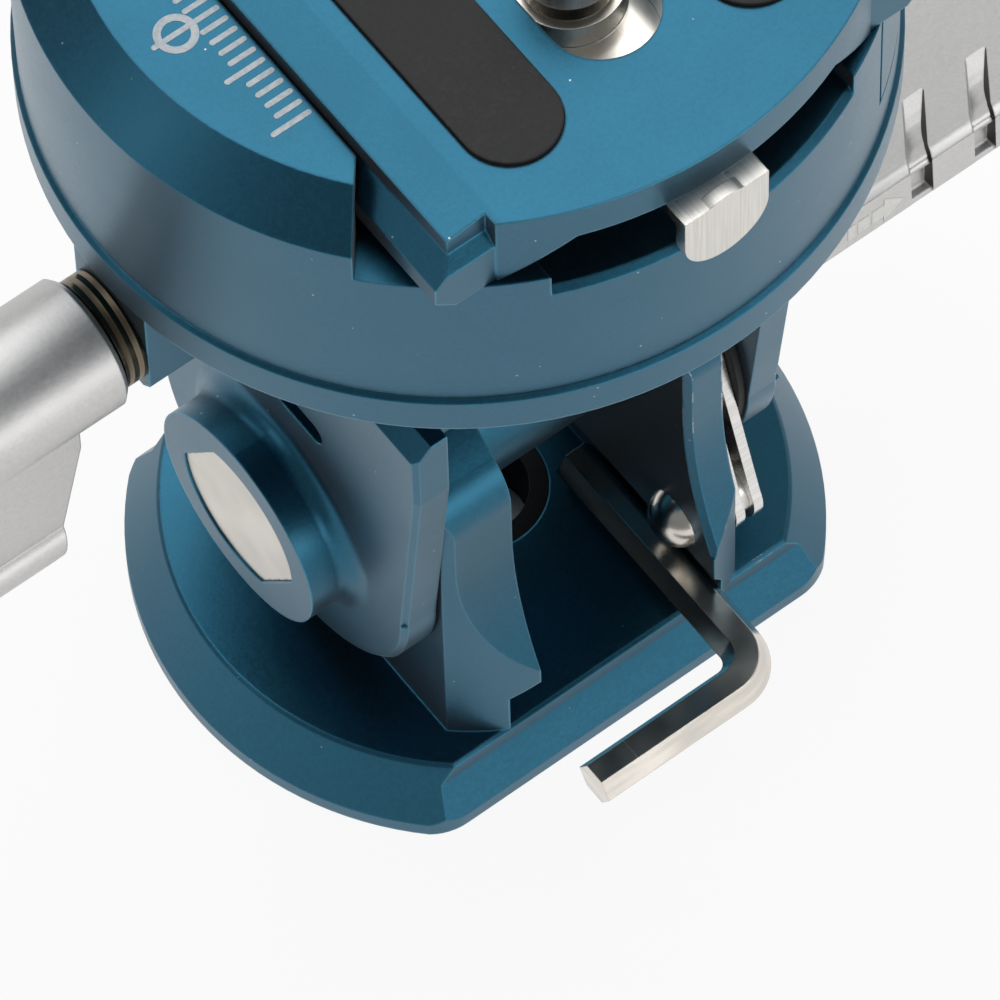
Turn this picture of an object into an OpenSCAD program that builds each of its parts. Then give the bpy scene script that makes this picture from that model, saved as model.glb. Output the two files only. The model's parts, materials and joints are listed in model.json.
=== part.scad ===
// Tilt head: a yoke on a round foot carries a braked tilting platform, a panning table with a
// dovetail clamp, and a sliding camera plate. The origin is the centre of the foot's underside,
// +Z is up, X is the tilt axis and -Y is the front. Sizes are in millimetres.

/* [Foot] */
// Radius of the turned foot at its rim
foot_r = 25.4; // [25:0.1:27]
// Height of the straight rim under the conical wall
rim_h = 1.3; // [0.8:0.1:1.8]
// Thickness of the foot, up to its floor
foot_h = 5.9; // [5.4:0.1:6.6]
// Radius of the floor's edge, at the top of the conical wall
floor_r = 22.9; // [22.4:0.1:23.6]
// Distance from the centre to the milled front and back flats
flat_y = 19.0; // [18.6:0.1:20]
// Distance from the centre to the upper step of those flats
step_y = 17.35; // [17:0.05:17.9]
// Height where the sloping ledge meets that step
ledge_z = 4.3; // [3.6:0.1:4.8]
// Broken edge round the floor
edge_break = 0.25; // [0.1:0.05:0.4]
// Plan radius of the corners between the round rim and the flats
corner_r = 4.5; // [3:0.1:6]
// Bore of the threaded bush, at the thread's crests
thread_r = 3.97; // [3.2:0.01:4.2]
// Outer radius of the threaded bush
thread_bush_r = 5.4; // [5:0.1:6.5]
// Inner radius of the shallow relief under the foot
relief_in_r = 9; // [7:0.5:11]
// Outer radius of the shallow relief under the foot
relief_out_r = 17; // [14:0.5:18]
// Depth of the shallow relief under the foot
relief_h = 0.5; // [0.3:0.1:1]

/* [Uprights] */
// Height of the tilt axis
pivot_z = 23.6; // [23:0.1:26]
// Radius of the turned billet that both uprights are milled from
billet_r = 20.0; // [19.8:0.1:21]
// Half width of the uprights' straight sides
web_half = 15.4; // [15:0.1:15.8]
// Radius of the uprights' round tops about the tilt axis
crown_r = 19.3; // [18.8:0.1:20]
// Radius of the corners between the straight sides and the round tops
crown_fillet = 5; // [3:0.5:6]
// Height of the billet's full width at the uprights' feet
lip_z = 13.0; // [12.8:0.1:13.4]
// Radius of the concave flare
flare_r = 39; // [36:0.5:42]
// Height where the flare runs into the straight side
flare_z = 28.7; // [28:0.1:29.2]
// Distance from the centre to the right upright's inner face
right_in = 7.5; // [7:0.1:7.6]
// Thickness of the right upright
right_t = 3.1; // [2.8:0.1:3.6]
// Thickness of the left upright
left_t = 5.7; // [4.8:0.05:6]
// Chamfer on the right upright's inner edges
right_chamfer = 0.5; // [0.3:0.1:0.8]
// Depth of the groove under the left upright's inner face
left_groove_d = 2.05; // [1.5:0.05:2.4]
// Height of the left groove at the face
left_groove_z = 12.1; // [11:0.1:12.4]
// Rise of either groove's slanting ceiling, from its wall to the face
groove_rise = 1.8; // [1.2:0.1:2.2]

/* [Tilt pivot] */
// Radius of the pivot shaft in its bushes
shaft_r = 5.0; // [4.6:0.1:5.2]
// Wall of the pivot bushes
bush_t = 1.5; // [1:0.1:2]
// Outer radius of the spacer sleeve between the uprights
sleeve_r = 7.5; // [6.8:0.1:8]
// Radius of the shaft's keyed head
head_r = 6.3; // [6:0.1:6.6]
// Half distance between the flats of the keyed head
head_flat = 5.35; // [5.2:0.05:5.8]
// Turn of those flats from the horizontal
head_turn = 35; // [0:5:90]
// Depth of the shaft's face below the boss's face
head_sunk = 0.2; // [0:0.1:0.6]
// Radius of the boss on the left lug
boss_r = 8.7; // [8:0.1:9.6]
// Height of the boss over the lug
boss_h = 3.8; // [3:0.1:5]
// Fillet at the foot of the boss
boss_fillet = 1.5; // [0.8:0.1:2.2]
// Radius of the threaded end of the shaft
shaft_thread_r = 4.0; // [3.6:0.1:4.2]
// Length of the threaded end
shaft_thread_l = 5.4; // [5:0.1:5.6]

/* [Tilt brake] */
// Thickness of the fixed brake plates
plate_t = 0.8; // [0.6:0.05:1]
// Radius of the fixed brake plates about the tilt axis
brake_r = 13.0; // [12:0.1:13.4]
// Thickness of the rotor disc between the plates
rotor_t = 0.7; // [0.5:0.05:1]
// Radius of the rotor disc
rotor_r = 13.0; // [12:0.1:13.6]
// Thickness of the friction disc on the right lug
friction_t = 0.6; // [0.4:0.05:0.9]
// Radius of the friction disc
friction_r = 14.0; // [12:0.1:14.2]
// Radius of the plates' tip round the anchor screw
tip_r = 3.0; // [2.6:0.1:3.2]
// Distance of the anchor screw in front of the tilt axis
anchor_y = 14.0; // [13.8:0.1:14.2]
// Height of the anchor screw
anchor_z = 12.9; // [12.8:0.1:13.2]
// Radius of the anchor screw
anchor_r = 1.5; // [1.2:0.1:1.8]
// Radius of the anchor screw's domed head
anchor_head_r = 2.4; // [2.2:0.1:2.6]
// Height of that head
anchor_head_h = 1.9; // [1.2:0.1:2.2]
// Thickness of the thrust washer at the left lug
thrust_t = 0.4; // [0.3:0.05:0.8]
// Radius of the thrust washer
thrust_r = 12; // [9:0.5:13]
// Depth of the thrust washer's seat in the left lug
thrust_sunk = 0.25; // [0.1:0.05:0.3]
// Thickness of the spring washer at the right lug
spring_washer_t = 0.4; // [0.3:0.05:0.8]

/* [Tilt platform] */
// Thickness of the lugs
lug_t = 2.8; // [2.4:0.1:3.4]
// Radius of the lugs' round ends
lug_r = 14.3; // [14.2:0.1:15]
// Half width of the lugs at the top
lug_half = 16.5; // [16:0.1:17]
// Height over the tilt axis where the lugs reach that width
lug_top_h = 20.4; // [19:0.1:22]
// Height over the tilt axis of the lugs' sloping shoulders
shoulder_h = 25.9; // [25:0.1:26.4]
// Width and rise of those shoulders
shoulder_w = 1.4; // [1:0.1:2]
// Broken edge round the lugs' outer faces
lug_break = 0.4; // [0.2:0.05:0.6]
// Half width of the neck between the lugs
neck_half = 13.0; // [12.8:0.1:13.6]
// Half depth of the bridge and the neck, front to back
neck_deep = 12.9; // [12.6:0.1:14]
// Gap between the uprights' round tops and the bridge
bridge_gap = 0.8; // [0.5:0.1:1.2]
// Height of the flange's underside over the tilt axis
flange_up = 43.2; // [42.8:0.1:46]
// Thickness of the flange
flange_t = 3.5; // [3.2:0.1:4.5]
// Radius of the flange
flange_r = 29.95; // [29.9:0.05:31]
// Chamfer round the flange's top
flange_chamfer = 0.35; // [0.2:0.05:0.4]
// Reach of the lock bracket's outer face
bracket_x = 29.2; // [28:0.1:29.4]
// Half width of the lock bracket
bracket_half = 4.0; // [3.8:0.1:5]
// Chamfer on the bracket's lower edges
bracket_chamfer = 0.8; // [0.4:0.1:1.2]
// Depth of the lock stud's axis below the flange
stud_down = 6.8; // [6.6:0.1:7.2]
// Length of the blind slot in the left lug
lug_slot_l = 5.5; // [4:0.1:7]
// Width of the blind slot in the left lug
lug_slot_w = 2.2; // [1.6:0.1:2.6]

/* [Pan] */
// Radius of the spindle
spindle_r = 8.0; // [7.4:0.1:8.2]
// Radius of the spindle's head
spindle_head_r = 13.0; // [12.8:0.1:13.4]
// Thickness of the spindle's head
spindle_head_t = 2.6; // [2.4:0.1:2.8]
// Wall of the two spindle bushes
pan_bush_t = 2.0; // [1.5:0.1:2.2]
// Length of the bore that carries the spindle
neck_bore_h = 14.8; // [14.6:0.1:15.4]
// Length of the upper spindle bush
upper_bush_h = 3.4; // [2.5:0.1:3.6]
// Length of the lower spindle bush
lower_bush_h = 4.4; // [3:0.1:4.8]
// Thickness of the slip ring under the table
race_t = 1.0; // [0.6:0.1:1.4]
// Inner radius of the slip ring
race_in_r = 15; // [14.5:0.5:18]
// Outer radius of the slip ring
race_out_r = 26; // [22:0.5:27]
// Thickness of the retaining washer under the spindle
retainer_t = 1.5; // [1:0.1:2]
// Radius of the retaining washer
retainer_r = 10.8; // [10.4:0.1:11]

/* [Table and clamp] */
// Radius of the table's wall
table_r = 29.6; // [29.4:0.1:29.8]
// Height of the clamp's floor over the table's underside
floor_up = 12.4; // [12:0.1:13.5]
// Height of the plate's seat over the clamp's floor
seat_up = 1.7; // [1.4:0.1:2.2]
// Height of the conical bevel round the jaws
jaw_bevel_h = 2.9; // [2:0.1:3.2]
// Radius of the jaws' top, inside that bevel
jaw_top_r = 25.8; // [24.5:0.1:26.6]
// Height of the straight lip at the jaws' top
lip_h = 0.4; // [0.3:0.05:0.8]
// Distance from the centre to the inner edge of the plate's seats
seat_in = 12.4; // [11.8:0.1:13]
// Distance from the centre to the split between the table and the moving jaw
jaw_split = 16.5; // [16:0.1:17]
// Broken edge at the front and back of the clamp's floor
floor_break_w = 0.5; // [0.2:0.1:0.8]
// Distance from the middle where the lead-in at each end of a jaw starts
lead_y = 14.5; // [12:0.1:16]
// Turn of the lead-in away from the plate
lead_turn = 40; // [30:1:50]
// Height of the moving jaw's foot over the table's underside
jaw_foot_up = 3.4; // [3.1:0.1:3.6]
// Height of the clamp screw over the table's underside
clamp_up = 8.4; // [8.2:0.1:8.6]
// Radius of the clamp screw
clamp_r = 2.5; // [2:0.1:2.6]
// Depth of the flat under the knob, inside the table's radius
jaw_face_in = 1.2; // [0.8:0.1:2]
// Radius of the knob's washer
knob_washer_r = 4.6; // [4:0.1:4.7]
// Radius of the clamp knob
knob_r = 9.0; // [8:0.1:9.6]
// Length of the clamp knob
knob_l = 11; // [9:0.1:16]
// Number of scallops round the knob
knob_scallops = 10; // [6:1:14]
// Radius of the guide pins
pin_r = 2.0; // [1.6:0.1:2.2]
// Distance of the guide pins from the middle
pin_y = 13.0; // [12.6:0.1:13.6]
// Length of a guide pin inside the table
pin_in = 12; // [8:0.5:13]
// Length of a guide pin inside the jaw
pin_out = 7.2; // [5:0.1:7.6]
// Distance of the opening springs from the middle
jaw_spring_y = 7.4; // [7:0.1:7.6]
// Depth of the spring pockets on each side
jaw_spring_d = 4.0; // [3:0.1:5]

/* [Camera plate] */
// Half width of the plate's top
plate_half = 18.4; // [18:0.1:19]
// Width of each 45 degree dovetail flank
dovetail = 1.7; // [1.3:0.1:2]
// Thickness of the plate over its rails
plate_h = 7.0; // [6.8:0.1:7.6]
// Height of the flank's top over the rails' underside
flank_up = 5.0; // [4.6:0.1:5.4]
// Height of the rails' straight outer edge under the flank
rail_edge_h = 1.7; // [1.2:0.1:2]
// Width of the shallow bevel along each long top edge
top_bevel_w = 3.5; // [2:0.1:4]
// Fall of that bevel
top_bevel_h = 0.5; // [0.2:0.1:0.8]
// Half width of the hollow between the rails, at their underside
hollow_half = 15.2; // [14.6:0.1:15.8]
// Half width of the hollow under the plate's web
hollow_top_half = 10.5; // [9.5:0.1:11.5]
// Thickness of the plate over the hollow
web_t = 3.2; // [2.8:0.1:3.4]
// Distance from the centre to the plate's straight end shoulders
plate_end_y = 23.8; // [23:0.1:24.2]
// Distance from the centre to the rails' ends
rail_end_y = 24.75; // [24.4:0.05:25.4]
// Half width of the rounded end between the shoulders
plate_end_half = 15.3; // [14:0.1:15.8]
// Distance of the rounded ends inside the table's radius
plate_end_in = 0.4; // [0:0.1:0.5]
// Width of the rubber pads
pad_w = 7.2; // [6:0.1:7.6]
// Distance of the pads from the middle
pad_x = 9.8; // [9.2:0.1:10.4]
// Half length of the pads
pad_half = 22.7; // [20:0.1:23.5]
// Depth of the pads' pockets
pad_sunk = 0.8; // [0.5:0.1:1.2]
// Height of the pads over the plate
pad_proud = 0.3; // [0.1:0.1:0.6]
// Width of the screw slot
slot_w = 8.0; // [7:0.1:9]
// Half length of the screw slot
slot_half = 20.0; // [17:0.1:21]
// Place of the camera screw along the slot
screw_y = -12.5; // [-15:0.5:15]
// Radius of the camera screw's thread
camera_r = 3.15; // [3:0.01:3.2]
// Height of the camera screw over the plate
camera_up = 5.2; // [4.5:0.1:6]
// Radius of the camera screw's head
camera_head_r = 6.2; // [5:0.1:7]
// Radius of the collar's flange under the plate
collar_flange_r = 6.8; // [5.5:0.1:7.5]
// Width of the stop tab
tab_w = 6.8; // [5:0.1:7.4]
// Place of the stop tab across the plate
tab_x = -1.2; // [-2:0.1:2]
// Thickness of the stop tab's hanging end
tab_t = 1.0; // [0.8:0.1:1.4]
// Depth that the stop tab hangs below the clamp's floor
tab_down = 0.9; // [0.5:0.1:2]

/* [Levers] */
// Angle of the tilt lever's wing over the horizontal
tilt_lever_turn = 43; // [20:1:60]
// Reach of the tilt lever's wing from its axis
tilt_reach = 21.6; // [19:0.1:22]
// Length of the tilt lever
tilt_lever_l = 27; // [24:0.1:34]
// Radius of the tilt lever's barrel
tilt_barrel_r = 7.4; // [7.3:0.1:8.2]
// Reach of the pan lever's wing from its axis
pan_reach = 22.5; // [19:0.1:24]
// Length of the pan lever
pan_lever_l = 27; // [24:0.1:36]
// Radius of the pan lever's barrel
pan_barrel_r = 5.0; // [4.9:0.1:6]
// Height of a wing's broad face over its middle plane
face_v = 2.8; // [2.4:0.1:3.2]
// Depth of a wing's back below its middle plane
back_v = 2.4; // [2:0.1:3]
// Radius of the rounded ridge along a wing
ridge_r = 2.2; // [1.8:0.1:2.6]
// Height of the ridge over the broad face
ridge_up = 0.8; // [0.4:0.1:1.2]
// Width of the flat band along a wing's outer edge
band_w = 2.4; // [1.5:0.1:3]
// Width of the grip notches
notch_w = 1.8; // [1:0.1:2.4]
// Depth of the grip notches
notch_d = 1.3; // [0.8:0.1:1.6]
// Distance from the axis where the grip notches start
notch_from = 12; // [10:0.5:14]
// Pull that lifts a lever off its toothed hub
lever_pull = 4.0; // [3:0.1:4.2]
// Radius of the pan lock stud
stud_r = 3.0; // [2.6:0.1:3.2]
// Radius of the stud's collar
stud_collar_r = 4.2; // [4:0.1:4.6]
// Length of the stud's collar
stud_collar_l = 1.7; // [1.4:0.1:2.4]

/* [Hex key] */
// Width of the key across its flats
key_af = 3.0; // [2:0.1:3]
// Distance of the key's long arm from the middle
key_x = 6.6; // [6.4:0.1:6.7]
// Place of the long arm's far end
key_end_y = -3.4; // [-8:0.1:4]
// Place of the short arm in front of the foot
key_front_y = 25.2; // [24:0.1:28]
// Mean radius of the key's bend
key_bend_r = 2.6; // [2.4:0.1:4]
// Place of the short arm's end
key_tip_x = -8.4; // [-14:0.1:-2]

/* [Clearances] */
// Radial clearance of shafts and pins that turn or slide
run_fit = 0.05; // [0.03:0.01:0.08]
// Radial clearance of pieces that are pressed or screwed home
seat_fit = 0.02; // [0.01:0.01:0.03]
// Gap between flat faces that turn past each other
face_gap = 0.05; // [0.03:0.01:0.08]
// Gap between pieces that move past each other
move_gap = 0.3; // [0.2:0.05:0.35]
// Gap between the flange and the table
table_gap = 0.1; // [0.1:0.01:0.2]

/* [Hidden] */
$fn = 96;
over = 1;
tuck = 0.05;

// Colours as the object shows them
blue = [0.10, 0.36, 0.52];
silver = [0.74, 0.74, 0.74];
steel = [0.80, 0.78, 0.74];
nickel = [0.72, 0.69, 0.64];
bronze = [0.66, 0.50, 0.28];
rubber = [0.12, 0.12, 0.12];
polymer = [0.90, 0.89, 0.85];

// Stack of pieces along the tilt axis, from the right upright outwards
right_out = right_in + right_t;
inner_plate_x = right_out + 2 * face_gap;
rotor_x = inner_plate_x + plate_t + face_gap;
outer_plate_x = rotor_x + rotor_t + face_gap;
friction_x = outer_plate_x + plate_t + face_gap;
lug_in = friction_x + friction_t + face_gap;
lug_out = lug_in + lug_t;
thrust_x = lug_in + thrust_sunk;
left_out = thrust_x - thrust_t - 2 * face_gap;
left_in = left_out - left_t;
boss_x = lug_out + boss_h;
spring_washer_x = lug_out + face_gap;
nut_x = spring_washer_x + spring_washer_t + face_gap;
nut_flange_t = 0.5;
tilt_lever_x = nut_x + nut_flange_t + 2 * face_gap;
bush_r = shaft_r + run_fit + bush_t;

// Heights up the platform, the table and the plate
flange_z = pivot_z + flange_up;
shoulder_z = pivot_z + shoulder_h;
lug_top_z = shoulder_z + shoulder_w;
stud_z = flange_z - stud_down;
bracket_z = stud_z - bracket_half;
flange_top_z = flange_z + flange_t;
neck_ceiling_z = flange_z - neck_bore_h;
table_z = flange_top_z + table_gap;
clamp_floor_z = table_z + floor_up;
seat_z = clamp_floor_z + seat_up;
plate_z = seat_z + 2 * face_gap;
plate_top_z = plate_z + plate_h;
flank_top_z = plate_z + flank_up;
flank_low_z = flank_top_z - dovetail;
jaw_top_z = flank_top_z + lip_h;
table_wall_z = jaw_top_z - jaw_bevel_h;
hollow_z = plate_top_z - web_t;
jaw_foot_z = table_z + jaw_foot_up;
clamp_z = table_z + clamp_up;
bridge_r = crown_r + bridge_gap;

// Dovetail clamp across the jaws
lip_x = plate_half + move_gap;
dovetail_x = plate_half + dovetail + move_gap;
jaw_flank_z = flank_top_z + move_gap * (sqrt(2) - 1);
jaw_x = jaw_split + move_gap;

// Pan bore, bushes and pocket
pan_bush_r = spindle_r + run_fit + pan_bush_t;
retainer_pocket_r = retainer_r + move_gap;
spindle_end_z = neck_ceiling_z - 2 * face_gap;
retainer_z = spindle_end_z - retainer_t;
retainer_screw_r = 2.5;
retainer_head = [4.5, 2.8];
retainer_screw_l = 10;
spindle_screw_r = 1.25;
spindle_screw_head = [2.1, 1.5];
spindle_screw_l = 7.5;
spindle_screw_pcr = (spindle_r + spindle_head_r) / 2;
spindle_screw_count = 4;

// Toothed hubs under the levers
hub_l = 6;
tooth_gap = 0.18;
tilt_hub_r = tilt_barrel_r - 1.2;
pan_hub_r = pan_barrel_r - 1.2;
web_l = 2;
tilt_stem_r = 3.2;
pan_stem_r = 2.2;
tilt_root_x = 0.6;
tilt_sweep = 0.8;
pan_root_x = 3;
pan_sweep = 2.9;
screw_head_l = 2.2;
lever_screw_l = 5;
stud_collar_x = bracket_x + 2 * face_gap;
pan_lever_x = stud_collar_x + stud_collar_l + move_gap;
shoe_l = 4.8;
shoe_x = spindle_r + 2 * face_gap;
stud_tip_x = shoe_x + shoe_l + face_gap;

// Springs: wire radius, turns, rings per turn and sides of the wire
wire_r = 0.35;
spring_turns = 5;
spring_rings = 8;
spring_sides = 6;
lever_spring_l = lever_pull + 2 * wire_r * (spring_turns + 1) + 4 * face_gap;
jaw_spring_r = 1.9;
jaw_pocket_r = jaw_spring_r + 2 * wire_r;
jaw_spring_l = 2 * jaw_spring_d + move_gap - 2 * face_gap;

// Hex key
key_z = foot_h + face_gap + key_af / 2;
key_corner_r = key_af / sqrt(3);
key_wall_x = key_x + key_corner_r + move_gap / 2;
key_groove_z = key_z + key_af / 2 + move_gap;
key_face_z = key_groove_z + groove_rise * (key_wall_x - right_in) / key_corner_r;

// Stop tab in front of the table
tab_y = table_r + move_gap;
tab_tongue_t = 1.1;
plate_end_r = table_r - plate_end_in;
tab_tongue_in = 8.7;
tab_tongue_y = plate_end_r - tab_tongue_in;
tab_screw_in = 5.2;
tab_screw_y = plate_end_r - tab_screw_in;
tab_screw_r = 1.2;
tab_screw_head = [2.2, 1.0];
tab_screw_l = 1.8;

// Camera screw and its collar
collar_r = slot_w / 2 - 2 * run_fit;
collar_flange_t = 1.1;
collar_z = hollow_z - collar_flange_t - face_gap;
collar_top_z = plate_top_z - 1;
camera_head_t = 2.4;
camera_neck_r = 2.5;
camera_neck_up = 0.2;
socket_af = 4;
coin_slot = [1.6, 1.2];

// Clamp knob
knob_washer_t = 1.0;
jaw_face_x = table_r - jaw_face_in;
knob_x = jaw_face_x + knob_washer_t + 2 * move_gap;
knob_scallop_r = 2.6;
knob_scallop_d = 1.3;
knob_chamfer = 0.8;
knob_dish = [5.5, 1.2];
clamp_screw_in = 4.5;

// A bar along X between two places, round its axis at (y, z)
module bar(r, x0, x1, y = 0, z = 0) {
  translate([x0, y, z])
    rotate([0, 90, 0])
      cylinder(r = r, h = x1 - x0);
}

// A tube along X between two places, round the tilt axis
module pivot_tube(r_out, r_in, x0, x1) {
  difference() {
    bar(r_out, x0, x1, 0, pivot_z);
    bar(r_in, x0 - over, x1 + over, 0, pivot_z);
  }
}

// A flat ring on the Z axis
module ring(r_out, r_in, z0, h) {
  translate([0, 0, z0])
    difference() {
      cylinder(r = r_out, h = h);
      translate([0, 0, -over])
        cylinder(r = r_in, h = h + 2 * over);
    }
}

// A (y, z) outline carried along X between two places
module along_x(x0, x1) {
  translate([x0, 0, 0])
    rotate([90, 0, 90])
      linear_extrude(x1 - x0)
        children();
}

// An (x, z) outline carried along Y between two places
module along_y(y0, y1) {
  translate([0, y1, 0])
    rotate([90, 0, 0])
      linear_extrude(y1 - y0)
        children();
}

// The four points, just inside two circles, that their outer tangents run between
function tangent_points(c1, r1, c2, r2) =
  let (
    run = c2 - c1,
    aim = atan2(run[1], run[0]),
    lean = acos((r1 - r2) / norm(run)),
    left = [cos(aim + lean), sin(aim + lean)],
    right = [cos(aim - lean), sin(aim - lean)]
  )
  [c1 + (r1 - tuck) * right, c2 + (r2 - tuck) * right, c2 + (r2 - tuck) * left, c1 + (r1 - tuck) * left];

// A round plate with a smaller round tip, joined by tangents
module teardrop(c1, r1, c2, r2) {
  translate(c1)
    circle(r1);
  translate(c2)
    circle(r2);
  polygon(tangent_points(c1, r1, c2, r2));
}

// A slot with round ends, along Y, from -half to half
module slot_outline(w, half) {
  for (end = [-1, 1])
    translate([0, end * (half - w / 2)])
      circle(w / 2);
  square([w, 2 * half - w], center = true);
}

// A round outline with two opposite flats
module double_d(r, flat) {
  intersection() {
    circle(r);
    square([2 * flat, 2 * r + over], center = true);
  }
}

// A twelve-pointed outline: two hexagons, one turned between the other's corners
module toothed(r) {
  for (turn = [0, 30])
    rotate(turn)
      circle(r, $fn = 6);
}

// Centres of the wire's rings, along a helix on the Z axis
function helix_points(r, length) =
  let (count = spring_turns * spring_rings)
  [for (i = [0:count])
    [r * cos(360 * i / spring_rings), r * sin(360 * i / spring_rings),
     wire_r + (length - 2 * wire_r) * i / count]];

// The least gap between neighbouring turns of that helix
function helix_gap(path) =
  min([for (i = [0:len(path) - 1 - spring_rings]) norm(path[i + spring_rings] - path[i])]) - 2 * wire_r;

// A compression spring on the Z axis, as one unbroken tube
module coil_spring(r, length) {
  path = helix_points(r, length);
  last = len(path) - 1;
  points = [
    for (i = [0:last], side = [0:spring_sides - 1])
      let (turn = 360 * i / spring_rings, round = 360 * side / spring_sides)
      path[i] + wire_r * [cos(round) * cos(turn), cos(round) * sin(turn), sin(round)]
  ];
  walls = [
    for (i = [0:last - 1], side = [0:spring_sides - 1])
      let (
        next = (side + 1) % spring_sides,
        a = i * spring_sides + side,
        b = i * spring_sides + next
      )
      each [[a, a + spring_sides, b], [b, a + spring_sides, b + spring_sides]]
  ];
  start_cap = [for (side = [1:spring_sides - 2]) [0, side, side + 1]];
  end_base = last * spring_sides;
  end_cap = [for (side = [1:spring_sides - 2]) [end_base, end_base + side + 1, end_base + side]];
  polyhedron(points = points, faces = concat(walls, start_cap, end_cap));
  echo(least_spring_gap = helix_gap(path));
}

// Plan of the foot inside its turned rim: two flats, and rounded corners that run into the rim
module foot_plan() {
  reach = foot_r - corner_r + tuck;
  wide = foot_r + over;
  centre = [sqrt(pow(reach, 2) - pow(flat_y - corner_r, 2)), flat_y - corner_r];
  touch = centre * foot_r / reach;
  difference() {
    square([2 * wide, 2 * flat_y], center = true);
    for (side = [-1, 1], end = [-1, 1])
      scale([side, end])
        polygon([centre, [centre[0], wide], [wide, wide], 2 * touch - centre]);
  }
  for (side = [-1, 1], end = [-1, 1])
    translate([side * centre[0], end * centre[1]])
      circle(corner_r);
}

// The foot: a turned cone with milled ledges at the front and back
module foot() {
  intersection() {
    rotate_extrude()
      polygon([
        [0, 0], [foot_r, 0], [foot_r, rim_h], [floor_r, foot_h - edge_break],
        [floor_r - edge_break, foot_h], [0, foot_h]
      ]);
    along_x(-foot_r, foot_r)
      polygon([
        [-flat_y, 0], [-flat_y, rim_h], [-step_y, ledge_z], [-step_y, foot_h - edge_break],
        [edge_break - step_y, foot_h], [step_y - edge_break, foot_h], [step_y, foot_h - edge_break],
        [step_y, ledge_z], [flat_y, rim_h], [flat_y, 0]
      ]);
    linear_extrude(foot_h)
      foot_plan();
  }
}

// Side view of an upright: a wide foot, concave flares, straight sides and a round top
module upright_outline() {
  root = step_y - edge_break;
  wide = crown_r + over;
  reach = crown_r - crown_fillet + tuck;
  side_y = web_half - crown_fillet;
  centre = [side_y, sqrt(pow(reach, 2) - pow(side_y, 2))];
  touch = centre * crown_r / reach;
  translate([-root, foot_h - over])
    square([2 * root, 2 * over]);
  translate([-billet_r, foot_h])
    square([2 * billet_r, lip_z - foot_h]);
  difference() {
    translate([-billet_r, foot_h])
      square([2 * billet_r, flare_z - foot_h]);
    for (side = [-1, 1])
      translate([side * (web_half + flare_r), flare_z])
        circle(flare_r);
  }
  translate([0, pivot_z]) {
    difference() {
      intersection() {
        circle(crown_r);
        square([2 * web_half, 2 * crown_r], center = true);
      }
      for (side = [-1, 1])
        scale([side, 1])
          polygon([centre, [wide, centre[1]], [wide, wide], 2 * touch - centre]);
    }
    for (side = [-1, 1])
      translate([side * centre[0], centre[1]])
        circle(crown_fillet);
  }
}

// What a chamfer takes off the inner edge of an upright, above its lip
module upright_chamfer(x_in, depth) {
  for (side = [-1, 1])
    intersection() {
      union() {
        translate([x_in - depth, side * (web_half + flare_r), flare_z])
          rotate([0, 90, 0])
            cylinder(r1 = flare_r + 2 * depth, r2 = flare_r, h = 2 * depth);
        translate([0, 0, flare_z])
          linear_extrude(crown_r)
            polygon([
              [x_in - depth, side * (web_half - 2 * depth)], [x_in + depth, side * web_half],
              [x_in + depth, side * 2 * web_half], [x_in - depth, side * 2 * web_half]
            ]);
      }
      translate([x_in - depth, -2 * billet_r, lip_z])
        cube([2 * depth, 4 * billet_r, 2 * crown_r]);
    }
}

module upright(x0, x1) {
  intersection() {
    along_x(x0, x1)
      upright_outline();
    cylinder(r = billet_r, h = pivot_z + crown_r + over);
  }
}

// An undercut along the foot of an upright's inner face, with a slanting ceiling
module foot_groove(face_x, wall_x, face_z) {
  inward = sign(face_x) * over;
  along_y(-billet_r - over, billet_r + over)
    polygon([
      [face_x - inward, foot_h], [wall_x, foot_h], [wall_x, face_z - groove_rise],
      [face_x, face_z], [face_x - inward, face_z]
    ]);
}

// Foot and both uprights, milled from one billet
module base_yoke() {
  color(blue)
    difference() {
      union() {
        foot();
        upright(-left_out, -left_in);
        upright(right_in, right_out);
      }
      upright_chamfer(right_in, right_chamfer);
      foot_groove(-left_in, -left_in - left_groove_d, left_groove_z);
      foot_groove(right_in, key_wall_x, key_face_z);
      bar(bush_r, -billet_r, billet_r, 0, pivot_z);
      bar(anchor_r + seat_fit, right_in - over, right_out + over, -anchor_y, anchor_z);
      translate([0, 0, -over])
        cylinder(r = thread_bush_r, h = foot_h + 2 * over);
      ring(relief_out_r, relief_in_r, -over, relief_h + over);
    }
}

// Threaded bush in the foot
module thread_bush() {
  color(steel)
    ring(thread_bush_r - seat_fit, thread_r, 0, foot_h);
}

module tilt_bush_left() {
  color(bronze)
    pivot_tube(bush_r - seat_fit, shaft_r + run_fit, -left_out, -left_in);
}

module tilt_bush_right() {
  color(bronze)
    pivot_tube(bush_r - seat_fit, shaft_r + run_fit, right_in, right_out);
}

// Spacer sleeve on the shaft, between the uprights
module pivot_sleeve() {
  color(blue)
    pivot_tube(sleeve_r, shaft_r + run_fit, face_gap - left_in, right_in - face_gap);
}

// A fixed brake plate: round, with a tip under the anchor screw
module brake_plate(x0) {
  difference() {
    along_x(x0, x0 + plate_t)
      teardrop([0, pivot_z], brake_r, [-anchor_y, anchor_z], tip_r);
    bar(shaft_r + move_gap, x0 - over, x0 + plate_t + over, 0, pivot_z);
    bar(anchor_r + seat_fit, x0 - over, x0 + plate_t + over, -anchor_y, anchor_z);
  }
}

module brake_plate_inner() {
  color(steel)
    brake_plate(inner_plate_x);
}

module brake_plate_outer() {
  color(steel)
    brake_plate(outer_plate_x);
}

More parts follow.
